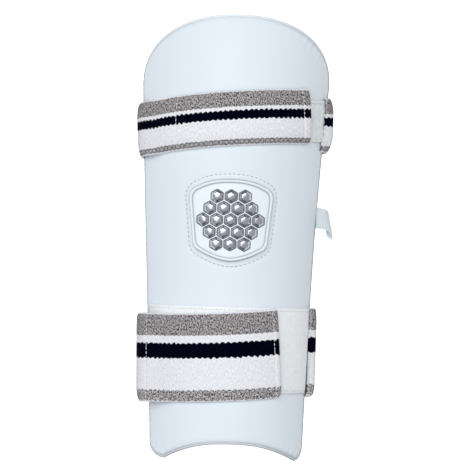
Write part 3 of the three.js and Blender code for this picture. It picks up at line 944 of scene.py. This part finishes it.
def loop_tape(name, tape, finish):
    band = tape_band(tape)
    along = band["way"][:, None]
    across, out = flat_section(band["width"], LOOP_TAPE_THICK, front_points=40, back_points=12)
    rows = (TAPE_SEAM, band["width"] - TAPE_SEAM)
    drawn_in = sum(SEAM_PULL * hump(across - row, SEAM_PULL_WIDTH) for row in rows) * (out > 0)
    edge = 1 - quarter_round(np.minimum(across, band["width"] - across), TAPE_EDGE)
    end = quarter_round(np.minimum(along, along[-1] - along) + CUT_LEAST, TAPE_END)
    lift = (out * (1 - TAPE_EDGE_THIN * edge) - drawn_in) * end - GAP * edge
    rings = on_band(band, along, across, lift)[0]
    fields = {"cloth": cloth_field(along, across, out)}
    piece = sweep(f"{name}_pile_tape", rings, "loop_tape", [finish], fields=fields, node=f"{name}_loop_tape")
    band["width"] * MM
    lines = [on_band(band, band["way"], row, LOOP_TAPE_THICK / 2 - TAPE_STITCH_SINK) for row in rows]
    stitches = np.concatenate([stitch_row(line, ways, **TAPE_STITCH) for line, ways in lines])
    sweep(f"{name}_tape_stitches", stitches, "loop_tape", [pale_thread])
    return band


upper_tape_band = loop_tape("upper", UPPER_TAPE, upper_pile_shaded)
lower_tape_band = loop_tape("lower", LOWER_TAPE, lower_pile)

# %% [markdown]
# ## Straps
# Each strap is knitted elastic, sewn to the pad's right edge. It runs round the back, over the left
# edge and across the face, where its folded end closes on the loop tape. Its route is the CAD route:
# one curve over the face, soft bends beside the edges, and a straight run under the pad. A curve with a
# flat profile could follow it, but the pad widens under a strap, so each long edge has its own line.

# %% Routes of the straps
STRAP_THICK = 1.6
HOOK_TAPE_THICK = 0.8
STRAP_RISE = 3 * GAP + LOOP_TAPE_THICK + HOOK_TAPE_THICK + STRAP_THICK / 2
ROOT_RISE = 2 * GAP + LOOP_TAPE_THICK + STRAP_THICK / 2
BEND_Z = 4.5
BEND_REACH = 5
BEND_PULL = 0.4
FACE_STEPS, BEND_STEPS = 160, 40
UPPER_STRAP = {
    "width": 32.9, "end_x": 45.7, "slant": 1.1, "leave_x": -48, "root_x": 54, "root_slant": 0.7,
    "left": -58.25, "left_slant": 0.95, "right": 59.3, "end_y": 73.5, "crown_y": 70.9, "leave_y": 64.55,
    "left_y": 62.55, "under_y": (62.55, 68.15), "root_y": 69.15, "hem": 6.4, "flare": 1.0, "tack_x": -34.6,
    "scallop": 3.05, "droop": (2, 2.6), "left_curl": (1.4, 1.8), "right_curl": (2, 3.2),
}
LOWER_STRAP = {
    "width": 53.4, "end_x": 31.3, "slant": 2.1, "leave_x": -38, "root_x": 48.7, "root_slant": 0,
    "left": -54.95, "left_slant": 0.65, "right": 52.8, "end_y": -68.2, "crown_y": -71.3, "leave_y": -72.8,
    "left_y": -73.2, "under_y": (-73, -68), "root_y": -67.1, "hem": 4.2, "flare": 0.8, "tack_x": -48,
    "scallop": 3.45, "droop": (0.8, 2.6), "left_curl": (0.6, 1.6), "right_curl": (0.8, 1),
}


def strap_edge(strap, side):
    """Points and ways out along the upper (1) or lower (-1) edge, from the free end round to the root."""
    offset = side * strap["width"] / 2

    def over(y, x, rise):
        reach = radius(y + offset) + rise
        angle = math.asin((x - sway(y + offset)) / reach)
        spot = np.array([x, axis_z(y + offset) + reach * math.cos(angle)])
        return angle, spot, np.array([-math.cos(angle), math.sin(angle)])

    end = over(strap["crown_y"], strap["end_x"] - side * strap["slant"], STRAP_RISE)
    leave = over(strap["leave_y"], strap["leave_x"], STRAP_RISE)
    root = over(strap["root_y"], strap["root_x"] + side * strap["root_slant"], ROOT_RISE)
    middle = ((end[0] + leave[0]) / 2, 2 * strap["crown_y"] - (strap["end_y"] + strap["leave_y"]) / 2)
    angle, y = bezier([(end[0], strap["end_y"]), middle, (leave[0], strap["leave_y"])], FACE_STEPS)[0].T
    points, ways = [on_guard(angle, y + offset, STRAP_RISE)], [out_of_face(angle)]
    up, east = np.array([0, 1]), np.array([1, 0])
    left = np.array([strap["left"] - side * strap["left_slant"] + STRAP_THICK / 2, BEND_Z])
    right = np.array([strap["right"] - STRAP_THICK / 2, BEND_Z])
    under_left = (left[0] + BEND_REACH, STRAP_THICK / 2)
    under_right = (right[0] - BEND_REACH, STRAP_THICK / 2)
    stages = [
        (leave[1], leave[2], left, -up, strap["leave_y"], strap["left_y"]),
        (left, -up, under_left, east, strap["left_y"], strap["under_y"][0]),
        (under_left, east, under_right, east, *strap["under_y"]),
        (under_right, east, right, up, strap["under_y"][1], strap["root_y"]),
        (right, up, root[1], root[2], strap["root_y"], strap["root_y"]),
    ]
    for start, start_way, stop, stop_way, start_y, stop_y in stages:
        start, stop = np.asarray(start), np.asarray(stop)
        pull = np.linalg.norm(stop - start) * BEND_PULL
        spots, run = bezier([start, start + pull * start_way, stop - pull * stop_way, stop], BEND_STEPS)
        y = np.linspace(start_y, stop_y, len(spots)) + offset
        points.append(np.stack([spots[:, 0], y, spots[:, 1]], axis=-1)[1:])
        ways.append(np.stack([run[:, 1], 0 * y, -run[:, 0]], axis=-1)[1:])
    return np.concatenate(points), np.concatenate(ways)


upper_band = new_band(strap_edge(UPPER_STRAP, 1), strap_edge(UPPER_STRAP, -1))
lower_band = new_band(strap_edge(LOWER_STRAP, 1), strap_edge(LOWER_STRAP, -1))
for band in (upper_band, lower_band):
    print(f"strap: {band['width']:.1f} mm wide, {band['way'][-1]:.0f} mm long")

# %% [markdown]
# ### Knitted stripes
# Striped elastic is knitted in courses across its width. Where two colours meet, the loops of one bite
# into the other, so the border is a row of scallops. The grey yarn is flecked, the white shows its
# ribs, a thin stripe beside the lower edge is ringed on one strap and speckled on the other, and a
# white picot runs along each edge. A picture of the cloth would have to be painted first, but along and
# across give all of that as a formula. Flecks and streaks are noise that is squeezed along the strap, as
# the yarns are.

# %% Stripes of the straps
YARN = {
    "grey": ((46, 42, 45), (188, 184, 185)),
    "speckled": ((58, 54, 57), (212, 208, 210)),
    "ringed": ((50, 46, 49), (206, 204, 206)),
    "white": ((206, 208, 217), (247, 249, 254)),
    "navy": ((0, 0, 4), (9, 9, 44)),
}
BITE = {"grey": 0.5, "speckled": 1.0, "ringed": 0.6, "navy": 1.05}
UPPER_STRIPES = [
    ("white", 2.1), ("grey", 26.3), ("white", 6.4), ("navy", 15.7), ("white", 35.1), ("ringed", 9.1),
    ("white", 2.7),
]
LOWER_STRIPES = [
    ("white", 1.7), ("grey", 23.6), ("white", 8.5), ("navy", 17), ("white", 35.9), ("speckled", 11.8),
    ("white", 1.8),
]


def stripe_edges(width, stripes):
    """How far across each stripe ends."""
    shares = np.cumsum([share for _, share in stripes])
    return (width * shares / shares[-1]).tolist()


for strap, stripes in ((UPPER_STRAP, UPPER_STRIPES), (LOWER_STRAP, LOWER_STRIPES)):
    print("stripes end at", np.round(stripe_edges(strap["width"], stripes), 1).tolist(), "mm across")

# %% Knit
COURSE = 1.42
YARN_PITCH = 0.95
LEAN = 0.85
RIB_DEPTH, YARN_DEPTH = 0.3, 0.6
COLUMN_DRIFT, YARN_DRIFT = 0.7, 1.2


def knit_height(along, across):
    """Height of the knit, at most 1: columns of slanted yarns, each leaning against the last."""
    column = along / COURSE
    lean = np.where(np.floor(column) % 2, LEAN, -LEAN)
    yarn = across / YARN_PITCH + lean * (column % 1 - 0.5)
    rib, ridge = (np.abs(np.sin(math.pi * turns)) for turns in (column, yarn))
    return (1 - RIB_DEPTH + RIB_DEPTH * rib) * (1 - YARN_DEPTH + YARN_DEPTH * ridge)


def knit_wires(wire, place, along, across):
    """How the yarns of a finish drift, and the same height with that drift, less a half."""
    drift = wire.noise(place, 0.6, detail=3.0) - 0.5
    column = along / COURSE + drift * COLUMN_DRIFT
    index = wire.math("FLOOR", column)
    lean = (wire.math("FLOORED_MODULO", index, 2.0) * 2 - 1) * LEAN
    yarn = across / YARN_PITCH + lean * (column - index - 0.5) + drift * YARN_DRIFT
    rib, ridge = (wire.math("ABSOLUTE", wire.math("SINE", turns * math.pi)) for turns in (column, yarn))
    return drift, (1 - RIB_DEPTH + RIB_DEPTH * rib) * (1 - YARN_DEPTH + YARN_DEPTH * ridge) - 0.5


on_and_beside = knit_height(COURSE / 2, np.array([YARN_PITCH / 2, YARN_PITCH]))
print("knit height on a yarn and beside it:", np.round(on_and_beside, 2))

# %% Knitted elastic
FLECK = {"along": 1.54, "across": 0.77}
STREAK = {"along": 2.0, "across": 0.5}
STRIPE_SOFT = 0.3


def knitted_elastic(name, strap, stripes):
    finish = Finish(name, Roughness=1.0, Specular_IOR_Level=0.03)
    wire = finish.wire
    place, along, across, _ = finish.field("cloth")
    drift, knit = knit_wires(wire, place, along, across)

    def specks(rate):
        squeezed = wire.node("CombineXYZ", None, {0: along * rate["along"], 1: across * rate["across"]})
        return wire.noise(squeezed, 1.0) - 0.5

    fleck, streak = specks(FLECK), specks(STREAK)
    squiggle = wire.wave((across * 0.8 + along * 0.55) / 1.3 + wire.noise(place, 0.25) * 5) - 0.5
    edges = stripe_edges(strap["width"], stripes)
    scallop = along / strap["scallop"] + drift * 0.3
    turn = wire.math("FRACT", scallop) - 0.5
    ring_row = across - (edges[4] + edges[5]) / 2
    centre = 1 - wire.step(wire.math("SQRT", turn * turn * 9 + ring_row * ring_row) - 0.75, 0.5)
    # The knit height also darkens the grey and the white between the yarns: painted shade.
    grey = 0.46 + squiggle * 0.4 + fleck * 4.1 + knit * 0.5
    tone = {
        "grey": grey,
        "speckled": grey * 1.05 - 0.12,
        "ringed": grey * 0.42 + 0.12 + centre * 0.36,
        "white": 0.6 + streak * 1.7 + fleck * 0.8 + knit * 0.3,
        "navy": fleck * 3 + 0.2,
    }
    colours = {
        yarn: wire.mix(wire.step(tone[yarn] - 0.5, 1.0), srgb(*dark), srgb(*light))
        for yarn, (dark, light) in YARN.items()
    }
    bulge = wire.math("ABSOLUTE", wire.math("SINE", scallop * math.pi)) * (0.8 + drift) - 0.5 + drift * 0.8
    colour = colours[stripes[0][0]]
    for (yarn, _), (following, _), edge in zip(stripes, stripes[1:], edges):
        bite = BITE[following] if following != "white" else -BITE[yarn]
        past = wire.step(across - edge + bulge * bite, STRIPE_SOFT)
        colour = wire.mix(past, colour, colours[following])
    finish.feed("Base Color", colour)
    finish.bump(knit * 0.6 + fleck * 0.6, depth_mm=0.3, strength=0.8)
    return finish


upper_elastic = knitted_elastic("upper_elastic", UPPER_STRAP, UPPER_STRIPES)
lower_elastic = knitted_elastic("lower_elastic", LOWER_STRAP, LOWER_STRIPES)
print("finishes:", upper_elastic.material.name, lower_elastic.material.name)

# %% [markdown]
# ### Strap meshes
# Elastic under tension isn't a flat plate. Its long edges thin out and sink towards the pad, and they
# curl in where the strap bends round the sides. The free end is folded into a thicker hem with round
# corners, and the root ends in a cut fringe. A lattice could bend a flat strip like that, but here every
# point knows how far along and across it is, so each of these is one more term in its place.

# %% Shape of a strap
SOFT_EDGE = 10
CURL_REACH = 9
FACE_RUN, FACE_RUN_FADE = 4, 10
ROOT_SINK, ROOT_SINK_LENGTH = 0.8, 3
END_SINK, END_SINK_LENGTH = 0.5, 5
FLARE_LENGTH = 7


def upper_or_lower(band, across, pair):
    """The first of a pair of values in the upper half of a band and the second in the lower half."""
    return np.where(across < band["width"] / 2, *pair)


def hem_flare(strap, band, along, across):
    """How far the upper corner of the free end spreads."""
    return strap["flare"] * hump(along, FLARE_LENGTH) * (1 - across / band["width"]) ** 2


def on_strap(strap, band, along, across, out):
    """Points on a strap whose long edges sink to the pad, curl in at both bends and flare at the hem."""
    way, width = band["way"], band["width"]
    middle = (band["edges"][0][0] + band["edges"][1][0])[:, 0] / 2
    soft = (1 - np.clip(np.minimum(across, width - across) / SOFT_EDGE, 0, 1)) ** 2
    over_face = np.clip((way[FACE_STEPS] + FACE_RUN - along) / FACE_RUN_FADE, 0, 1)
    sunk = upper_or_lower(band, across, strap["droop"]) * over_face
    for bend, curl in ((middle.argmin(), "left_curl"), (middle.argmax(), "right_curl")):
        sunk = sunk + upper_or_lower(band, across, strap[curl]) * hump(along - way[bend], CURL_REACH)
    from_root = np.clip(way[-1] - along, 0, ROOT_SINK_LENGTH)
    ends = ROOT_SINK * (1 - quarter_round(from_root, ROOT_SINK_LENGTH))
    ends = ends + END_SINK * np.clip(1 - along / END_SINK_LENGTH, 0, 1) ** 2
    return on_band(band, along, across - hem_flare(strap, band, along, across), out - sunk * soft - ends)


def tack_place(band, x):
    """How far along its front run a strap reaches this x."""
    middle = (band["edges"][0][0] + band["edges"][1][0])[:, 0] / 2
    return float(band["way"][np.argmax(middle < x)])


print(f"tack at {tack_place(upper_band, UPPER_STRAP['tack_x']):.1f} mm along the upper strap")

# %% Strap meshes
STATION = 0.36
RELIEF = 0.16
PICOT, PICOT_SHARE = 0.14, 0.03
HEM_LIFT, HEM_STEP = 0.5, 0.8
HEM_PULL, TACK_PULL, PULL_WIDTH = 0.35, 0.3, 0.5
FOLD, FOLD_LEAST = 2.0, 0.06
CORNER = 2.6
EDGE_THIN = 0.5
EDGE_TAPER = 2.5
ROOT_FRAY = 1.6
FRAY_PITCH = 1.4
ROOT_ROUND, ROOT_LEAST = 0.9, 0.08


def strap_mesh(name, strap, band, elastic, front_points):
    length, width = band["way"][-1], band["width"]
    across, out = flat_section(width, STRAP_THICK, front_points, back_points=10)
    from_edge = np.minimum(across, width - across)
    corner = CORNER * (1 - quarter_round(from_edge, CORNER))
    fray = ROOT_FRAY * np.abs(np.sin(math.pi * across / FRAY_PITCH))
    along = corner + (1 - (corner + fray) / length) * np.linspace(0, length, int(length / STATION))[:, None]
    facing = np.clip(out / (STRAP_THICK / 2), 0, 1)
    ribs = RELIEF * (knit_height(along, across) - 0.5)
    hem = HEM_LIFT * np.clip((strap["hem"] + HEM_STEP / 2 - along) / HEM_STEP, 0, 1)
    tack = tack_place(band, strap["tack_x"])
    pulled = HEM_PULL * hump(along - strap["hem"], PULL_WIDTH) + TACK_PULL * hump(along - tack, PULL_WIDTH)
    ends = quarter_round(along - corner + FOLD_LEAST, FOLD)
    ends = ends * quarter_round(length - fray - along + ROOT_LEAST, ROOT_ROUND)
    picot = PICOT * np.cos(math.tau * along / strap["scallop"]) * (from_edge < PICOT_SHARE * width)
    thin = 1 - EDGE_THIN * (1 - quarter_round(from_edge, EDGE_TAPER))
    lift = (out + STRAP_THICK / 2 + facing * (ribs + hem - pulled)) * ends * thin - STRAP_THICK / 2
    rings = on_strap(strap, band, along, across + picot * np.sign(across / width - 0.5), lift)[0]
    fields = {"cloth": cloth_field(along, across - hem_flare(strap, band, along, across), out)}
    piece = sweep(f"{name}_elastic_strap", rings, "elastic", [elastic], fields=fields, node=f"{name}_strap")
    width * MM
    length * MM


strap_mesh("upper", UPPER_STRAP, upper_band, upper_elastic, front_points=80)
strap_mesh("lower", LOWER_STRAP, lower_band, lower_elastic, front_points=126)

# %% [markdown]
# ### Strap stitching
# White thread closes the folded hem, crosses the strap past the end of the hidden hook tape, and tacks
# the root to the pad in a zigzag. The two straight rows run right across, but in the grey and the white
# they sink between the yarns, and a second set of stitches lies higher on the navy. The zigzag leaves
# the navy out, and each of its legs is one stitch.

# %% Strap stitching
ZIGZAG_STEP, ZIGZAG_NEAR, ZIGZAG_FAR = 1.15, 0.1, 1.1
NAVY = 3
NAVY_STITCH = {"pitch": 2.3, "length": 2.0, "thick": 0.2}
SUNK_STITCH = {"pitch": 2.3, "length": 1.7, "thick": 0.2, "sink": 0.26}
HEM_STITCH_SINK, TACK_STITCH_SINK = 0.2, 0.15
PAST_NAVY = 1
ROW_MARGIN, ZIGZAG_MARGIN = 1.5, 1.2
LEG_SHARE, LEG_THICK, LEG_SINK, LEG_REST = 0.96, 0.18, 0.05, 0.1


def strap_stitches(name, strap, band, stripes):
    edges = stripe_edges(band["width"], stripes)
    across = np.linspace(edges[NAVY - 1] - PAST_NAVY, edges[NAVY] + PAST_NAVY, 40)
    tack = tack_place(band, strap["tack_x"])
    on_hem = STRAP_THICK / 2 + HEM_LIFT / 2 - HEM_STITCH_SINK
    rows = [(strap["hem"], on_hem), (tack, STRAP_THICK / 2 - TACK_STITCH_SINK)]
    sets = [stitch_row(*on_strap(strap, band, place, across, out), **NAVY_STITCH) for place, out in rows]
    whole = np.linspace(ROW_MARGIN, band["width"] - ROW_MARGIN, 160)
    for place, out in rows:
        sets.append(stitch_row(*on_strap(strap, band, place, whole, out), **SUNK_STITCH))
    turns = np.arange(ZIGZAG_MARGIN, band["width"] - ZIGZAG_MARGIN, ZIGZAG_STEP)
    reach = np.where(np.arange(len(turns)) % 2, ZIGZAG_FAR, ZIGZAG_NEAR)
    for k in range(len(turns) - 1):
        if edges[NAVY - 1] - ZIGZAG_STEP < turns[k] < edges[NAVY]:
            continue
        share = np.linspace(0, 1, 8)
        along = band["way"][-1] - reach[k] - (reach[k + 1] - reach[k]) * share
        leg = on_strap(strap, band, along, turns[k] + ZIGZAG_STEP * share, STRAP_THICK / 2 - LEG_REST)
        way = np.linalg.norm(np.diff(leg[0], axis=0), axis=1).sum()
        sets.append(stitch_row(*leg, way, way * LEG_SHARE, LEG_THICK, sink=LEG_SINK))
    sweep(f"{name}_strap_stitches", np.concatenate(sets), "elastic", [white_thread])


strap_stitches("upper", UPPER_STRAP, upper_band, UPPER_STRIPES)
strap_stitches("lower", LOWER_STRAP, lower_band, LOWER_STRIPES)

# %% [markdown]
# ## Hook tapes
# The stiff half of the fastener is sewn under each strap's end, so it can only be seen from the side.
# A straight strip would cut through the curved pad, so it is a thinner band on the strap's own route,
# set inwards, with its rows of hooks left to the bump.

# %% Hook tapes
HOOK_INSET = 2.5
HOOK_END = 0.5
HOOK_PITCH = {"along": 1.5, "across": 1.2}
UPPER_HOOK = {"width": 25, "last_x": -34}
LOWER_HOOK = {"width": 50, "last_x": -35}

hook_nylon = Finish("hook_nylon", Roughness=0.55, Specular_IOR_Level=0.4)
_, hook_along, hook_across, _ = hook_nylon.field("cloth")
hook_rows = hook_nylon.wire.wave(hook_along / HOOK_PITCH["along"])
hook_rows = hook_rows * hook_nylon.wire.wave(hook_across / HOOK_PITCH["across"])
hook_nylon.feed("Base Color", hook_nylon.wire.mix(hook_rows, srgb(206, 210, 214), srgb(236, 238, 240)))
hook_nylon.bump(hook_rows, depth_mm=0.4, strength=0.8)


def hook_tape(name, strap, band, width, last_x):
    along = np.linspace(HOOK_INSET, tack_place(band, last_x), 120)[:, None]
    across, out = flat_section(width, HOOK_TAPE_THICK, front_points=14, back_points=14)
    end = quarter_round(np.minimum(along - along[0], along[-1] - along) + CUT_LEAST, HOOK_END)
    depth = out * end - STRAP_THICK / 2 - GAP - HOOK_TAPE_THICK / 2
    rings = on_strap(strap, band, along, across + (band["width"] - width) / 2, depth)[0]
    fields = {"cloth": cloth_field(along, across, out)}
    node = f"{name}_hook_tape"
    piece = sweep(f"{name}_hook_strip", rings, "hook_tape", [hook_nylon], fields=fields, node=node)


hook_tape("upper", UPPER_STRAP, upper_band, **UPPER_HOOK)
hook_tape("lower", LOWER_STRAP, lower_band, **LOWER_HOOK)

# %% [markdown]
# ## Loop pile
# Close up, the bare parts of the loop tapes are a fur of fine nylon loops. A particle system would grow
# them, but the result has to be a plain mesh and the same on every run. So seeded random places get a
# small bent thread each, and places that a strap covers are left out.

# %% Loop pile
PILE_PER_MM2 = 1.3
PILE_HEIGHT = (0.1, 0.34)
PILE_SPAN = (0.5, 1.1)
PILE_THREAD = 0.055
PILE_STATIONS = 5
PILE_ROOT = 0.05
PILE_MARGIN = {"end": 1, "edge": 0.6}
STRAP_MARGIN = 0.5
rng = np.random.default_rng(7)

fuzz = Finish("loop_fuzz", Roughness=0.8, Specular_IOR_Level=0.2, Sheen_Weight=0.3)
fuzz_tone = fuzz.wire.noise(fuzz.wire.node("TexCoord", output="Object"), 700.0)
fuzz.feed("Base Color", fuzz.wire.mix(fuzz_tone, srgb(234, 241, 246), srgb(249, 253, 255)))


def covered(points, band, root_x):
    """Which points of a tape lie under the strap's run over the face or under its root."""
    edges = [edge[0][: edge[0][:, 0].argmin()] for edge in band["edges"]]
    x, y = points[:, 0], points[:, 1]
    upper, lower = (np.interp(x, edge[::-1, 0], edge[::-1, 1]) for edge in edges)
    ends = sorted((edge[0, 1], edge[0, 0]) for edge in edges)
    end_x = np.interp(y, *zip(*ends))
    under = (x < end_x + STRAP_MARGIN) & (y < upper + STRAP_MARGIN) & (y > lower - STRAP_MARGIN)
    return under | (x > root_x - STRAP_MARGIN)


def pile_loops(name, tape, strap, root_x):
    length, width = tape["way"][-1], tape["width"]
    count = int(length * width * PILE_PER_MM2)
    along = rng.uniform(PILE_MARGIN["end"], length - PILE_MARGIN["end"], count)
    across = rng.uniform(PILE_MARGIN["edge"], width - PILE_MARGIN["edge"], count)
    heading = rng.uniform(0, math.tau, count)
    height, span = rng.uniform(*PILE_HEIGHT, count), rng.uniform(*PILE_SPAN, count)
    foot, up = on_band(tape, along, across, LOOP_TAPE_THICK / 2)
    kept = ~covered(foot, strap, root_x)
    foot, up, heading, height, span = (part[kept] for part in (foot, up, heading, height, span))
    east = np.cross(up, (0, -1, 0))
    way = east * np.cos(heading)[:, None] + np.array([0, 1, 0]) * np.sin(heading)[:, None]
    share = np.linspace(0, 1, PILE_STATIONS)
    reach, rise = span[:, None] * (share - 0.5), height[:, None] * np.sin(share * math.pi) - PILE_ROOT
    middle = foot[:, None] + way[:, None] * reach[..., None] + up[:, None] * rise[..., None]
    ahead = np.gradient(middle, axis=1)
    ahead /= np.linalg.norm(ahead, axis=-1, keepdims=True)
    side = np.cross(up, way)[:, None]
    turn = np.radians([0, 120, 240])[:, None]
    ring = side[..., None, :] * np.cos(turn) + np.cross(ahead, side)[..., None, :] * np.sin(turn)
    sweep(f"{name}_loop_pile", middle[..., None, :] + PILE_THREAD * ring, "loop_tape", [fuzz])


pile_loops("upper", upper_tape_band, upper_band, UPPER_STRAP["root_x"])
pile_loops("lower", lower_tape_band, lower_band, LOWER_STRAP["root_x"])

# %% [markdown]
# ## Ribbon
# A short white ribbon is folded and caught in the right edge seam. It leaves the seam flat, turns over
# at a slanted fold and comes back underneath. A cloth simulation could fold it, but for so small a piece
# two smooth lines through the fold's rows are enough. They are the edges of one more band.

# %% Ribbon
RIBBON_THICK = 0.5
RIBBON_REACH = 0.7
LINE_STEPS = 12
FOLDS = [
    (0.9, 0.35, 19.6, 7.2), (3.4, 1, 19.6, 7), (6, 1.2, 19.3, 6.6), (8.9, 0.8, 18.8, 5),
    (10.9, -0.5, 17.9, 2.6), (10.7, -1.9, 16.9, 0.9), (7.6, -2.4, 15.6, 2.2),
]

satin = Finish("satin_ribbon", Roughness=0.5, Specular_IOR_Level=0.4, Sheen_Weight=0.2)
satin_place, _, satin_across, _ = satin.field("cloth")
floats = satin.wire.wave(satin_across / 0.35) * 0.6 + satin.wire.noise(satin_place, 2.0) * 0.4
satin.feed("Base Color", satin.wire.mix(floats, srgb(190, 200, 206), srgb(222, 231, 236)))
satin.bump(floats, depth_mm=0.06, strength=0.5)


def smooth_line(rows):
    """A smooth line through points, as one Bezier piece for each step."""
    rows = np.asarray(rows, float)
    padded = np.concatenate([rows[:1], rows, rows[-1:]])
    pulls = (padded[2:] - padded[:-2]) / 6
    steps = zip(rows, rows[1:], pulls, pulls[1:])
    pieces = [bezier([a, a + p, b - q, b], LINE_STEPS)[0][:-1] for a, b, p, q in steps]
    return np.concatenate([*pieces, rows[-1:]])


def ribbon_edge(seam, share, column):
    first = FOLDS[0][0]
    rows = []
    for fold in FOLDS:
        rows.append((seam[0] + first + (fold[0] - first) * share, fold[column], seam[2] + fold[1]))
    line = smooth_line(rows)
    run = np.gradient(line, axis=0) * (1, 0, 1)
    run /= np.linalg.norm(run, axis=1, keepdims=True)
    return line, np.stack([-run[:, 2], 0 * run[:, 0], run[:, 0]], axis=-1)


ribbon_y = (FOLDS[0][2] + FOLDS[0][3]) / 2
ribbon_seam = on_guard(WRAP - SEAM_INSET / radius(ribbon_y), ribbon_y, -SEAM_DEPTH)
ribbon_band = new_band(ribbon_edge(ribbon_seam, 1, 3), ribbon_edge(ribbon_seam, RIBBON_REACH, 2))
ribbon_along = ribbon_band["way"][:, None]
ribbon_width = ribbon_band["width"]
ribbon_across, ribbon_out = flat_section(ribbon_width, RIBBON_THICK, front_points=24, back_points=24)
ribbon = sweep(
    "side_ribbon",
    on_band(ribbon_band, ribbon_along, ribbon_across, ribbon_out)[0],
    "ribbon",
    [satin],
    fields={"cloth": cloth_field(ribbon_along, ribbon_across, ribbon_out)},
    node="side_label",
)
ribbon_band["width"] * MM
